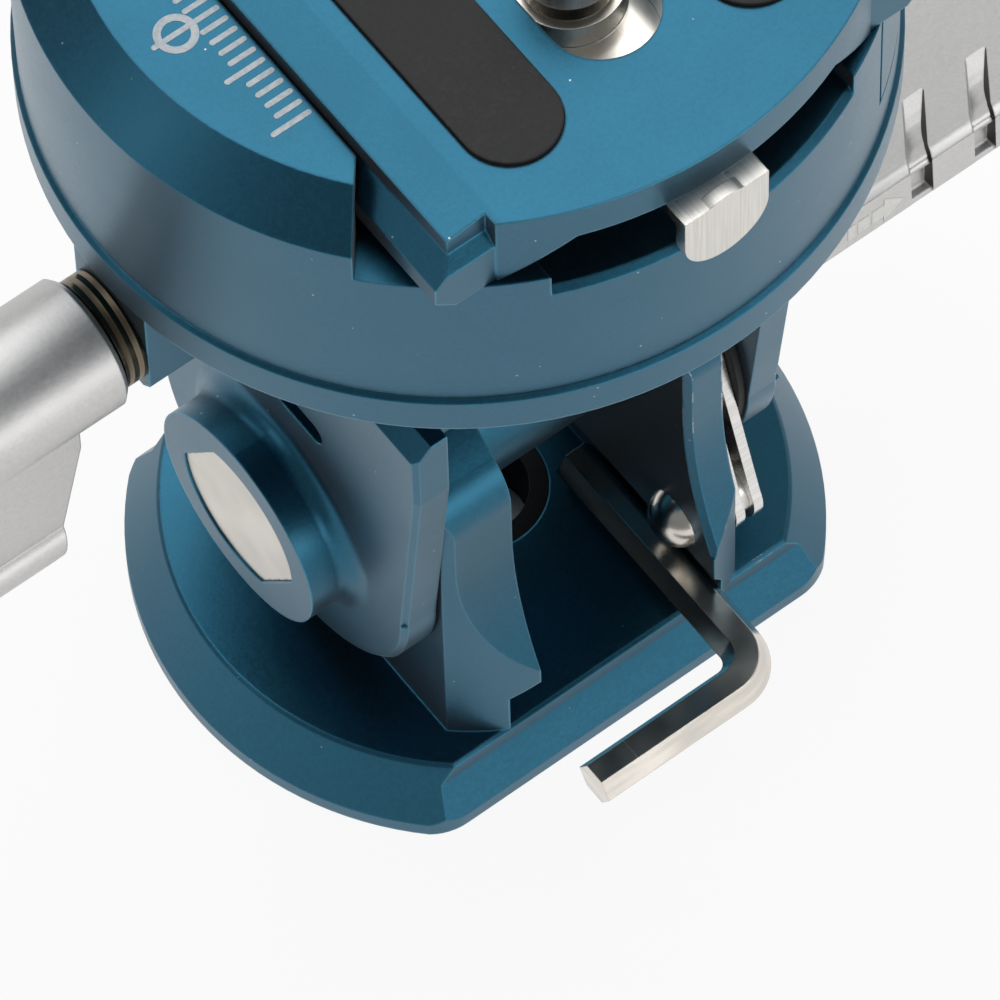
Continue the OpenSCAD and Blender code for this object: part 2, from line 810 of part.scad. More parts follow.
// Spacer that keeps the plates' tips apart by the rotor's thickness
module brake_spacer() {
  x0 = inner_plate_x + plate_t;
  color(steel)
    difference() {
      bar(anchor_head_r, x0, outer_plate_x, -anchor_y, anchor_z);
      bar(anchor_r + seat_fit, x0 - over, outer_plate_x + over, -anchor_y, anchor_z);
    }
}

// Screw with a domed head that anchors the brake plates to the right upright
module anchor_screw() {
  cap_r = (pow(anchor_head_r, 2) + pow(anchor_head_h, 2)) / (2 * anchor_head_h);
  color(nickel)
    union() {
      bar(anchor_r, right_in, outer_plate_x + plate_t, -anchor_y, anchor_z);
      translate([right_in, -anchor_y, anchor_z])
        rotate([0, -90, 0])
          rotate_extrude()
            intersection() {
              translate([0, anchor_head_h - cap_r])
                circle(cap_r);
              square([anchor_head_r, anchor_head_h]);
            }
    }
}

// Loose hex key, stored in the groove under the right upright
module hex_key() {
  bend = [key_x - key_bend_r, key_bend_r - key_front_y];
  color(nickel)
    translate([0, 0, key_z])
      union() {
        translate([key_x, bend[1], 0])
          rotate([-90, 0, 0])
            cylinder(r = key_corner_r, h = key_end_y - bend[1], $fn = 6);
        translate([key_tip_x, -key_front_y, 0])
          rotate([0, 90, 0])
            rotate(90)
              cylinder(r = key_corner_r, h = bend[0] - key_tip_x, $fn = 6);
        translate([bend[0], bend[1], 0])
          rotate([0, 0, -90])
            rotate_extrude(angle = 90)
              translate([key_bend_r, 0])
                circle(key_corner_r, $fn = 6);
      }
}

// Side view of a lug: a round end on the tilt axis that widens towards the bridge
module lug_outline() {
  translate([0, pivot_z])
    circle(lug_r);
  polygon([
    [-lug_r, pivot_z], [lug_r, pivot_z], [lug_half, pivot_z + lug_top_h], [lug_half, lug_top_z],
    [-lug_half, lug_top_z], [-lug_half, pivot_z + lug_top_h]
  ]);
}

// The corner that a 45 degree cut takes off, from the origin outwards along X
module edge_outline(size) {
  polygon([[-over, over], [size + over, over], [size + over, -size - over]]);
}

// What breaking the right lug's outer edge takes off: round the end, up the sides and along the top
module lug_edges() {
  broken_x = lug_out - lug_break;
  wide_z = pivot_z + lug_top_h;
  run = [lug_half - lug_r, lug_top_h];
  translate([broken_x, 0, pivot_z])
    rotate([0, 90, 0])
      rotate([0, 0, -90])
        rotate_extrude(angle = 180)
          polygon([
            [lug_r + over, -over], [lug_r + over, lug_break + over],
            [lug_r - lug_break - over, lug_break + over]
          ]);
  for (side = [-1, 1])
    translate([broken_x, side * lug_half, wide_z])
      scale([1, side, 1]) {
        linear_extrude(lug_top_z - wide_z + over)
          edge_outline(lug_break);
        rotate([-atan2(run[0], run[1]), 0, 0])
          translate([0, 0, -norm(run)])
            linear_extrude(norm(run) + over)
              edge_outline(lug_break);
      }
  along_y(-lug_half - over, lug_half + over)
    translate([lug_out - shoulder_w, lug_top_z])
      edge_outline(shoulder_w);
}

// Boss round the keyed head, with a fillet at its foot
module pivot_boss() {
  translate([-lug_out, 0, pivot_z])
    rotate([0, -90, 0])
      rotate_extrude()
        difference() {
          square([boss_r + boss_fillet, boss_h]);
          translate([boss_r + boss_fillet, boss_fillet])
            circle(boss_fillet);
          translate([boss_r, boss_fillet])
            square([boss_fillet + over, boss_h]);
        }
}

// Bracket under the flange that carries the pan lock's stud
module lock_bracket() {
  along_x(-bracket_x, -neck_half + over)
    polygon([
      [-bracket_half, flange_z + over], [-bracket_half, bracket_z + bracket_chamfer],
      [bracket_chamfer - bracket_half, bracket_z], [bracket_half - bracket_chamfer, bracket_z],
      [bracket_half, bracket_z + bracket_chamfer], [bracket_half, flange_z + over]
    ]);
}

// Lugs, bridge, neck, flange and lock bracket in one piece
module tilt_platform() {
  color(blue)
    difference() {
      union() {
        for (side = [-1, 1])
          scale([side, 1, 1])
            difference() {
              along_x(lug_in, lug_out)
                lug_outline();
              lug_edges();
            }
        translate([-lug_in - over, -neck_deep, pivot_z + lug_top_h])
          cube([2 * (lug_in + over), 2 * neck_deep, lug_top_z - pivot_z - lug_top_h]);
        translate([-neck_half, -neck_deep, lug_top_z - over])
          cube([2 * neck_half, 2 * neck_deep, flange_z - lug_top_z + 2 * over]);
        rotate_extrude()
          polygon([
            [0, flange_z], [flange_r, flange_z], [flange_r, flange_top_z - flange_chamfer],
            [flange_r - flange_chamfer, flange_top_z], [0, flange_top_z]
          ]);
        pivot_boss();
        lock_bracket();
      }
      bar(bridge_r, -lug_in, lug_in, 0, pivot_z);
      bar(thrust_r + move_gap, -thrust_x, over - lug_in, 0, pivot_z);
      along_x(-boss_x - over, -lug_in + over)
        translate([0, pivot_z])
          rotate(head_turn)
            double_d(head_r + seat_fit, head_flat + seat_fit);
      bar(shaft_r + run_fit, lug_in - over, lug_out + over, 0, pivot_z);
      along_x(-lug_out - over, over - lug_out)
        translate([-lug_slot_l / 2, pivot_z + lug_r])
          rotate(90)
            slot_outline(lug_slot_w, lug_slot_l / 2);
      translate([0, 0, neck_ceiling_z - over])
        cylinder(r = pan_bush_r, h = neck_bore_h + flange_t + 2 * over);
      translate([0, 0, pivot_z])
        cylinder(r = retainer_pocket_r, h = neck_ceiling_z - pivot_z);
      ring(race_out_r + move_gap, race_in_r - move_gap, flange_top_z - race_t, race_t + over);
      bar(stud_r + run_fit, -bracket_x - over, -spindle_r, 0, stud_z);
    }
}

// Shaft with a keyed head at the left and a threaded end at the right
module pivot_shaft() {
  color(steel)
    union() {
      along_x(head_sunk - boss_x, -thrust_x)
        translate([0, pivot_z])
          rotate(head_turn)
            double_d(head_r, head_flat);
      bar(shaft_r, -thrust_x - over, lug_out, 0, pivot_z);
      bar(shaft_thread_r, lug_in, lug_out + shaft_thread_l, 0, pivot_z);
    }
}

module rotor_disc() {
  color(steel)
    pivot_tube(rotor_r, shaft_r + seat_fit, rotor_x, rotor_x + rotor_t);
}

module friction_disc() {
  color(rubber)
    pivot_tube(friction_r, shaft_r + seat_fit, friction_x, friction_x + friction_t);
}

module thrust_washer() {
  color(polymer)
    pivot_tube(thrust_r, shaft_r + seat_fit, -left_out - face_gap - thrust_t, -left_out - face_gap);
}

module spring_washer() {
  color(steel)
    pivot_tube(lug_r / 2, shaft_thread_r + run_fit, spring_washer_x, spring_washer_x + spring_washer_t);
}

// Two bushes for the spindle, above and below the pan lock's shoe
module pan_bushes() {
  color(bronze) {
    ring(pan_bush_r - seat_fit, spindle_r + run_fit, neck_ceiling_z, lower_bush_h);
    ring(pan_bush_r - seat_fit, spindle_r + run_fit, flange_z - upper_bush_h, upper_bush_h);
  }
}

// Slip ring between the flange and the table
module pan_race() {
  color(polymer)
    ring(race_out_r, race_in_r, flange_top_z - race_t, race_t + table_gap - face_gap);
}

// Brass shoe that the pan lock's stud presses on the spindle
module brake_shoe() {
  color(bronze)
    difference() {
      bar(stud_r, -shoe_x - shoe_l, -spindle_r / 2, 0, stud_z);
      translate([0, 0, stud_z - 2 * stud_r])
        cylinder(r = shoe_x, h = 4 * stud_r);
    }
}

// Nut on the shaft's thread, with a toothed hub and a stem for the lever
module tilt_lock_nut() {
  hub_end = tilt_lever_x + hub_l;
  stem_end = hub_end + web_l + lever_spring_l;
  color(steel)
    difference() {
      union() {
        bar(lug_r / 2, nut_x, nut_x + nut_flange_t, 0, pivot_z);
        along_x(nut_x, hub_end)
          translate([0, pivot_z])
            rotate(-tilt_lever_turn)
              toothed(tilt_hub_r);
        bar(tilt_stem_r, nut_x + over, stem_end, 0, pivot_z);
      }
      bar(shaft_thread_r + run_fit, nut_x - over, lug_out + shaft_thread_l + move_gap, 0, pivot_z);
      bar(tilt_stem_r / 2 + seat_fit, stem_end - lever_screw_l, stem_end + over, 0, pivot_z);
    }
}

// Section of a wing, which points to -Y: a broad face, a rounded ridge, an edge band and a flat back
module wing_outline(reach) {
  band = reach - band_w;
  polygon([
    [0, face_v], [-band, face_v], [-band, face_v - ridge_up], [-reach, face_v - 2 * ridge_up],
    [-reach, 2 * ridge_up - back_v], [ridge_r - reach, -back_v], [0, -back_v]
  ]);
  translate([ridge_r - band, face_v + ridge_up - ridge_r])
    circle(ridge_r);
}

// Front view of a wing, in (x, y): its root on the axis, a swept inner edge and a round outer corner
module wing_plan(reach, length, root_x, sweep) {
  corner = ridge_r + band_w;
  polygon([
    [root_x, 0], [root_x, -reach / 3], [root_x + sweep, -reach + band_w], [root_x + sweep, -reach],
    [length - corner, -reach], [length - corner, corner - reach], [length, corner - reach], [length, 0]
  ]);
  translate([length - corner, corner - reach])
    circle(corner);
}

// What the grip notches take off a wing: grooves that follow its section
module wing_notches(reach, places) {
  for (place = places)
    difference() {
      translate([place, -reach - over, 0])
        cube([notch_w, reach + over - notch_from, 2 * face_v]);
      along_x(place - over, place + notch_w + over)
        translate([notch_d / 2, -notch_d])
          wing_outline(reach);
    }
}

// A lever: a barrel from x 0 with a toothed bore, a spring space, and one wing towards -Y
module lever(reach, length, barrel_r, hub_r, stem_r, root_x, sweep, places) {
  chamfer = 0.4;
  difference() {
    union() {
      rotate([0, 90, 0])
        rotate_extrude()
          polygon([
            [0, 0], [barrel_r - chamfer, 0], [barrel_r, chamfer], [barrel_r, length - chamfer],
            [barrel_r - chamfer, length], [0, length]
          ]);
      difference() {
        intersection() {
          along_x(0, length)
            wing_outline(reach);
          translate([0, 0, -reach])
            linear_extrude(2 * reach)
              wing_plan(reach, length, root_x, sweep);
        }
        wing_notches(reach, places);
      }
    }
    along_x(-over, hub_l + face_gap)
      toothed(hub_r + tooth_gap);
    bar(stem_r + run_fit, 0, length);
    bar(hub_r - tooth_gap, hub_l + web_l, length + over);
  }
}

// Screw in a stem's end: its head holds the lever's spring
module stem_screw(stem_r, head_r) {
  difference() {
    union() {
      bar(stem_r / 2, -lever_screw_l + over, over);
      bar(head_r, 0, screw_head_l);
    }
    along_x(screw_head_l / 2, screw_head_l + over)
      circle(stem_r / 2, $fn = 6);
  }
}

// Place and turn of each lever: the tilt lever to the right, the pan lever mirrored to the left
module at_tilt_lever() {
  translate([tilt_lever_x, 0, pivot_z])
    rotate([-tilt_lever_turn, 0, 0])
      children();
}

module at_pan_lever() {
  translate([-pan_lever_x, 0, stud_z])
    mirror([1, 0, 0])
      rotate([90, 0, 0])
        children();
}

module tilt_lever() {
  first = hub_l + web_l + notch_w;
  pitch = 3 * notch_w;
  color(silver)
    at_tilt_lever()
      lever(tilt_reach, tilt_lever_l, tilt_barrel_r, tilt_hub_r, tilt_stem_r, tilt_root_x, tilt_sweep,
        [first, first + pitch, first + 2 * pitch]);
}

module tilt_lever_screw() {
  color(steel)
    at_tilt_lever()
      translate([hub_l + web_l + lever_spring_l, 0, 0])
        stem_screw(tilt_stem_r, tilt_hub_r - 4 * tooth_gap);
}

module tilt_lever_spring() {
  color(steel)
    at_tilt_lever()
      translate([hub_l + web_l + face_gap, 0, 0])
        rotate([0, 90, 0])
          coil_spring(tilt_stem_r + 3 * wire_r, lever_spring_l - 2 * face_gap);
}

// Stud that tightens the shoe, with a collar, a toothed hub and a stem for the lever
module pan_lock_stud() {
  hub_end = pan_lever_x + hub_l;
  stem_end = hub_end + web_l + lever_spring_l;
  collar_end = stud_collar_x + stud_collar_l;
  color(nickel)
    difference() {
      union() {
        bar(stud_r, -stud_collar_x - over, -stud_tip_x, 0, stud_z);
        bar(stud_collar_r, -collar_end, -stud_collar_x, 0, stud_z);
        along_x(-hub_end, -collar_end)
          translate([0, stud_z])
            rotate(90)
              toothed(pan_hub_r);
        bar(pan_stem_r, -stem_end, -collar_end, 0, stud_z);
      }
      bar(pan_stem_r / 2 + seat_fit, -stem_end - over, lever_screw_l - stem_end, 0, stud_z);
    }
}

module pan_lever() {
  notch = pan_lever_l - 6 * notch_w;
  color(silver)
    at_pan_lever()
      lever(pan_reach, pan_lever_l, pan_barrel_r, pan_hub_r, pan_stem_r, pan_root_x, pan_sweep,
        [notch, notch + 3 * notch_w]);
}

module pan_lever_screw() {
  color(steel)
    at_pan_lever()
      translate([hub_l + web_l + lever_spring_l, 0, 0])
        stem_screw(pan_stem_r, pan_hub_r - 3 * tooth_gap);
}

module pan_lever_spring() {
  color(steel)
    at_pan_lever()
      translate([hub_l + web_l + face_gap, 0, 0])
        rotate([0, 90, 0])
          coil_spring(pan_stem_r + 2 * wire_r, lever_spring_l - 2 * face_gap);
}

// Turned outside of the table and both jaws, above a height
module table_turning(z0) {
  rotate_extrude()
    polygon([
      [0, z0], [table_r, z0], [table_r, table_wall_z], [jaw_top_r, jaw_top_z], [0, jaw_top_z]
    ]);
}

// Space for the plate between the fixed jaw and the right side, in (x, z)
module clamp_outline() {
  polygon([
    [-seat_in, clamp_floor_z], [-seat_in, seat_z], [-dovetail_x, seat_z],
    [-dovetail_x, jaw_flank_z - (dovetail_x - lip_x)], [-lip_x, jaw_flank_z],
    [-lip_x, jaw_top_z + over], [table_r, jaw_top_z + over], [table_r, seat_z],
    [seat_in, seat_z], [seat_in, clamp_floor_z]
  ]);
}

// What is broken off the clamp floor's front and back edges
module floor_break() {
  intersection() {
    rotate_extrude()
      polygon([
        [table_r - floor_break_w, clamp_floor_z], [table_r, clamp_floor_z - floor_break_w],
        [table_r + over, clamp_floor_z - floor_break_w], [table_r + over, clamp_floor_z + over],
        [table_r - floor_break_w, clamp_floor_z + over]
      ]);
    translate([-seat_in, -2 * table_r, table_z])
      cube([2 * seat_in, 4 * table_r, jaw_top_z]);
  }
}

// What the slanting lead-ins take off both ends of the left jaw
module lead_in() {
  run = table_r - lead_y;
  for (end = [-1, 1])
    translate([0, 0, seat_z])
      linear_extrude(jaw_top_z)
        polygon([
          [-lip_x, end * lead_y], [-lip_x - run * tan(lead_turn), end * table_r],
          [over - lip_x, end * table_r], [over - lip_x, end * lead_y]
        ]);
}

// Panning table with the fixed jaw at the left and the moving jaw's seat at the right
module pan_table() {
  color(blue)
    difference() {
      table_turning(table_z);
      along_y(-table_r - over, table_r + over)
        clamp_outline();
      floor_break();
      lead_in();
      translate([jaw_split, -table_r - over, jaw_foot_z])
        cube([table_r, 2 * (table_r + over), jaw_top_z]);
      translate([0, 0, table_z - over])
        cylinder(r = spindle_head_r + seat_fit, h = spindle_head_t + over);
      for (i = [0:spindle_screw_count - 1])
        rotate(45 + i * 360 / spindle_screw_count)
          translate([spindle_screw_pcr, 0, table_z])
            cylinder(r = spindle_screw_r + seat_fit, h = spindle_screw_l);
      bar(clamp_r + run_fit, clamp_screw_in - over, jaw_split + over, 0, clamp_z);
      for (side = [-1, 1]) {
        bar(pin_r + seat_fit, jaw_split - pin_in, jaw_split + over, side * pin_y, clamp_z);
        bar(jaw_pocket_r, jaw_split - jaw_spring_d, jaw_split + over, side * jaw_spring_y, clamp_z);
      }
    }
}

// Spindle under the table, with a screwed head
module pan_spindle() {
  color(steel)
    difference() {
      union() {
        translate([0, 0, table_z])
          cylinder(r = spindle_head_r, h = spindle_head_t);
        translate([0, 0, spindle_end_z])
          cylinder(r = spindle_r, h = table_z - spindle_end_z + over);
      }
      for (i = [0:spindle_screw_count - 1])
        rotate(45 + i * 360 / spindle_screw_count)
          translate([spindle_screw_pcr, 0, table_z - over]) {
            cylinder(r = spindle_screw_r + seat_fit, h = spindle_head_t + 2 * over);
            cylinder(r = spindle_screw_head[0] + seat_fit, h = spindle_screw_head[1] + face_gap + over);
          }
      translate([0, 0, spindle_end_z - over])
        cylinder(r = retainer_screw_r + seat_fit, h = retainer_screw_l + over);
    }
}

// Four screws that hold the spindle's head in the table
module spindle_screws() {
  color(steel)
    for (i = [0:spindle_screw_count - 1])
      rotate(45 + i * 360 / spindle_screw_count)
        translate([spindle_screw_pcr, 0, table_z + face_gap])
          union() {
            cylinder(r = spindle_screw_r, h = spindle_screw_l - 2 * face_gap);
            cylinder(r = spindle_screw_head[0], h = spindle_screw_head[1]);
          }
}

// Washer that keeps the spindle in the neck
module pan_retainer() {
  color(steel)
    ring(retainer_r, retainer_screw_r + seat_fit, retainer_z, retainer_t);
}

module retainer_screw() {
  color(steel)
    difference() {
      union() {
        translate([0, 0, retainer_z - retainer_head[1]])
          cylinder(r = retainer_head[0], h = retainer_head[1]);
        translate([0, 0, retainer_z - over])
          cylinder(r = retainer_screw_r, h = retainer_t + retainer_screw_l - face_gap);
      }
      translate([0, 0, retainer_z - retainer_head[1] - over])
        cylinder(r = retainer_screw_r, h = retainer_head[1] / 2 + over, $fn = 6);
    }
}

// Two pins in the table that guide the moving jaw
module guide_pins() {
  color(steel)
    for (side = [-1, 1])
      bar(pin_r, jaw_split - pin_in + face_gap, jaw_x + pin_out, side * pin_y, clamp_z);
}

// Two springs that open the moving jaw
module jaw_springs() {
  color(steel)
    for (side = [-1, 1])
      translate([jaw_split - jaw_spring_d + face_gap, side * jaw_spring_y, clamp_z])
        rotate([0, 90, 0])
          coil_spring(jaw_spring_r, jaw_spring_l);
}

// Moving jaw, which mirrors the fixed one
module clamp_jaw() {
  color(blue)
    difference() {
      intersection() {
        table_turning(jaw_foot_z + move_gap);
        translate([jaw_x, -table_r, table_z])
          cube([table_r, 2 * table_r, jaw_top_z]);
      }
      mirror([1, 0, 0])
        along_y(-table_r - over, table_r + over)
          clamp_outline();
      mirror([1, 0, 0])
        lead_in();
      translate([jaw_face_x, -knob_r - over, table_z])
        cube([table_r, 2 * (knob_r + over), jaw_top_z]);
      bar(clamp_r + run_fit, jaw_x - over, table_r, 0, clamp_z);
      for (side = [-1, 1]) {
        bar(pin_r + run_fit, jaw_x - over, jaw_x + pin_out + move_gap, side * pin_y, clamp_z);
        bar(jaw_pocket_r, jaw_x - over, jaw_x + jaw_spring_d, side * jaw_spring_y, clamp_z);
      }
    }
}

// Scalloped knob on the clamp screw
module clamp_knob() {
  color(silver)
    difference() {
      intersection() {
        along_x(knob_x, knob_x + knob_l)
          translate([0, clamp_z])
            difference() {
              circle(knob_r);
              for (i = [0:knob_scallops - 1])
                rotate(i * 360 / knob_scallops)
                  translate([knob_r + knob_scallop_r - knob_scallop_d, 0])
                    circle(knob_scallop_r);
            }
        translate([knob_x, 0, clamp_z])
          rotate([0, 90, 0])
            rotate_extrude()
              polygon([
                [0, 0], [knob_r - knob_chamfer, 0], [knob_r, knob_chamfer], [knob_r, knob_l - knob_chamfer],
                [knob_r - knob_chamfer, knob_l], [0, knob_l]
              ]);
      }
      bar(knob_dish[0], knob_x + knob_l - knob_dish[1], knob_x + knob_l + over, 0, clamp_z);
      bar(clamp_r + seat_fit, knob_x - over, knob_x + knob_l, 0, clamp_z);
    }
}

module clamp_screw() {
  color(steel)
    bar(clamp_r, clamp_screw_in, knob_x + knob_l - knob_dish[1], 0, clamp_z);
}

module knob_washer() {
  color(nickel)
    difference() {
      bar(knob_washer_r, jaw_face_x + move_gap, jaw_face_x + move_gap + knob_washer_t, 0, clamp_z);
      bar(clamp_r + seat_fit, jaw_face_x, knob_x, 0, clamp_z);
    }
}

// Section of the camera plate, in (x, z): a bevelled top, dovetail flanks and two rails round a hollow
module plate_outline() {
  rail_half = plate_half + dovetail;
  rail_edge_z = flank_low_z - rail_edge_h;
  right = [
    [plate_half - top_bevel_w, plate_top_z], [plate_half, plate_top_z - top_bevel_h],
    [plate_half, flank_top_z], [rail_half, flank_low_z], [rail_half, rail_edge_z],
    [rail_half - (rail_edge_z - plate_z), plate_z], [hollow_half, plate_z], [hollow_top_half, hollow_z]
  ];
  left = [for (i = [len(right) - 1:-1:0]) [-right[i][0], right[i][1]]];
  polygon(concat(right, left));
}

// Plan of the camera plate: straight rail ends with a rounded end between them
module plate_plan() {
  square([2 * table_r, 2 * rail_end_y], center = true);
  intersection() {
    circle(plate_end_r);
    square([2 * plate_end_half, 2 * table_r], center = true);
  }
}

// What is cut off the top at the rails' ends: a shoulder and a slope down to the rail
module plate_shoulders() {
  for (side = [-1, 1], end = [-1, 1])
    scale([side, end, 1])
      along_x(plate_end_half, table_r)
        polygon([
          [plate_end_y, plate_top_z + over], [plate_end_y, flank_top_z],
          [plate_end_y + dovetail, flank_low_z], [table_r, flank_low_z], [table_r, plate_top_z + over]
        ]);
}

module camera_plate() {
  color(blue)
    difference() {
      intersection() {
        along_y(-table_r, table_r)
          plate_outline();
        translate([0, 0, seat_z])
          linear_extrude(2 * plate_h)
            plate_plan();
      }
      plate_shoulders();
      translate([0, 0, plate_z])
        linear_extrude(2 * plate_h)
          slot_outline(slot_w, slot_half);
      for (side = [-1, 1])
        translate([side * pad_x, 0, plate_top_z - pad_sunk])
          linear_extrude(2 * pad_sunk)
            slot_outline(pad_w, pad_half);
      translate([tab_x, -tab_screw_y, hollow_z - over])
        cylinder(r = tab_screw_r + seat_fit, h = tab_screw_l + face_gap + over);
    }
}

// A rubber pad in its pocket
module pad(side) {
  translate([side * pad_x, 0, plate_top_z - pad_sunk])
    linear_extrude(pad_sunk + pad_proud)
      slot_outline(pad_w - 2 * run_fit, pad_half - run_fit);
}

module pad_left() {
  color(rubber)
    pad(-1);
}

module pad_right() {
  color(rubber)
    pad(1);
}

// Stop under the plate's front end: its tongue is screwed up, and its end hangs before the table
module stop_tab() {
  low_z = clamp_floor_z - tab_down;
  top_z = hollow_z;
  color(steel)
    difference() {
      union() {
        along_y(-tab_y - tab_t, -tab_y) {
          translate([tab_x, low_z + tab_w / 2])
            circle(tab_w / 2);
          translate([tab_x - tab_w / 2, low_z + tab_w / 2])
            square([tab_w, top_z - low_z - tab_w / 2]);
        }
        translate([tab_x - tab_w / 2, -tab_y - tab_t, top_z - tab_tongue_t])
          cube([tab_w, tab_y + tab_t - tab_tongue_y, tab_tongue_t]);
      }
      translate([tab_x, -tab_screw_y, top_z - tab_tongue_t - over])
        cylinder(r = tab_screw_r + seat_fit, h = tab_tongue_t + 2 * over);
    }
}

module stop_tab_screw() {
  head_z = hollow_z - tab_tongue_t - tab_screw_head[1];
  color(nickel)
    translate([tab_x, -tab_screw_y, head_z])
      difference() {
        union() {
          cylinder(r = tab_screw_head[0], h = tab_screw_head[1]);
          cylinder(r = tab_screw_r, h = tab_screw_head[1] + tab_tongue_t + tab_screw_l);
        }
        translate([0, 0, -over])
          cylinder(r = tab_screw_r, h = tab_screw_head[1] / 2 + over, $fn = 6);
      }
}

// Collar that keeps the camera screw in the slot
module screw_collar() {
  color(nickel)
    translate([0, screw_y, 0])
      difference() {
        union() {
          translate([0, 0, collar_z])
            cylinder(r = collar_flange_r, h = collar_flange_t);
          translate([0, 0, collar_z])
            cylinder(r = collar_r, h = collar_top_z - collar_z);
        }
        translate([0, 0, collar_z - over])
          cylinder(r = camera_r + run_fit, h = plate_h);
      }
}

// Camera screw with an undercut neck, and a coin slot and a hex socket in its head
module camera_screw() {
  head_z = collar_z - face_gap - camera_head_t;
  thread_from = plate_top_z + camera_neck_up - head_z;
  color(steel)
    translate([0, screw_y, head_z])
      difference() {
        union() {
          cylinder(r = camera_head_r, h = camera_head_t);
          cylinder(r = camera_neck_r, h = thread_from + over);
          translate([0, 0, thread_from])
            cylinder(r = camera_r, h = camera_up - camera_neck_up);
        }
        translate([-camera_head_r - over, -coin_slot[0] / 2, -over])
          cube([2 * (camera_head_r + over), coin_slot[0], coin_slot[1] + over]);
        translate([0, 0, -over])
          cylinder(r = socket_af / sqrt(3), h = camera_head_t + over, $fn = 6);
      }
}

base_yoke();
thread_bush();
tilt_bush_left();
tilt_bush_right();
pivot_sleeve();
anchor_screw();
brake_plate_inner();
brake_plate_outer();
brake_spacer();
hex_key();
tilt_platform();
pivot_shaft();
rotor_disc();
friction_disc();
thrust_washer();
spring_washer();
pan_bushes();
pan_race();
brake_shoe();
tilt_lock_nut();
tilt_lever();
tilt_lever_screw();
tilt_lever_spring();
pan_lock_stud();
pan_lever();
pan_lever_screw();
pan_lever_spring();
pan_table();
pan_spindle();
spindle_screws();
pan_retainer();
retainer_screw();
guide_pins();
jaw_springs();
clamp_jaw();
clamp_knob();
clamp_screw();
knob_washer();
camera_plate();
pad_left();
pad_right();
stop_tab();
stop_tab_screw();
screw_collar();
camera_screw();
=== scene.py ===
"""Looks of the tilt head: finishes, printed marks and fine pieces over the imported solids."""

import json
import logging
import math
from dataclasses import dataclass, field
from enum import Enum
from typing import Optional, Sequence, Union

import bmesh
import bpy
import numpy as np
from mathutils import Matrix, Vector

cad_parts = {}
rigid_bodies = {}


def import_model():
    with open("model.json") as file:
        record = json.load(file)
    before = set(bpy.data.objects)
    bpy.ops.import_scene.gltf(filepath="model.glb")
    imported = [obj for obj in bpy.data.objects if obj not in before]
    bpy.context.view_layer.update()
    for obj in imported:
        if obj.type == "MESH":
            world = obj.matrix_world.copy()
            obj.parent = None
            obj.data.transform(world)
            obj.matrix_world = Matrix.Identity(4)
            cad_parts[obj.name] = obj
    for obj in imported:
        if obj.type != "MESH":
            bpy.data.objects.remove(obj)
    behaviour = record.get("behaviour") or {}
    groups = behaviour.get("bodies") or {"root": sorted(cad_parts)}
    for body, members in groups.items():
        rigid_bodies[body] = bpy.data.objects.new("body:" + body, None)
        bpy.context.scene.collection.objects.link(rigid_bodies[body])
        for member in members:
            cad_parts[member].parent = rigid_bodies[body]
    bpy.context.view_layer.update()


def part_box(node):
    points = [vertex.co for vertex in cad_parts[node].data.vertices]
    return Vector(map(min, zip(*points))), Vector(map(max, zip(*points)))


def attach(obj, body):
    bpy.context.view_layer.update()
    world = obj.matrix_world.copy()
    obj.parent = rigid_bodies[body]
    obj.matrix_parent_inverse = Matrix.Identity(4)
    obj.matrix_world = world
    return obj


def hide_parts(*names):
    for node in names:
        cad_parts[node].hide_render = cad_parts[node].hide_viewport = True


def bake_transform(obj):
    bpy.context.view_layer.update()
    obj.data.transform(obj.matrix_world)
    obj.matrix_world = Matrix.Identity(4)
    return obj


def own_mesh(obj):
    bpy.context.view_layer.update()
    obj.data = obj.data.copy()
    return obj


LOG = logging.getLogger("tilt_head")
MM = 0.001
WIDE_EDGE = 3.0  # reach of the wide edge mask, in edge radii
SPRING_WIRE = 0.35  # radius of every spring's wire, in millimetres
SPRING_TURNS = 5.0
SPRING_RINGS = 28  # circles in a turn
SPRING_SIDES = 12  # points round the wire
Pair = tuple[float, float]
Triple = tuple[float, float, float]
Colour = Triple
Node = bpy.types.Node
Socket = bpy.types.NodeSocket
Value = Union[float, Socket]


class Axis(Enum):
    """Directions that a lay or a turning follows."""

    X = 0
    Y = 1
    Z = 2


# Node trees


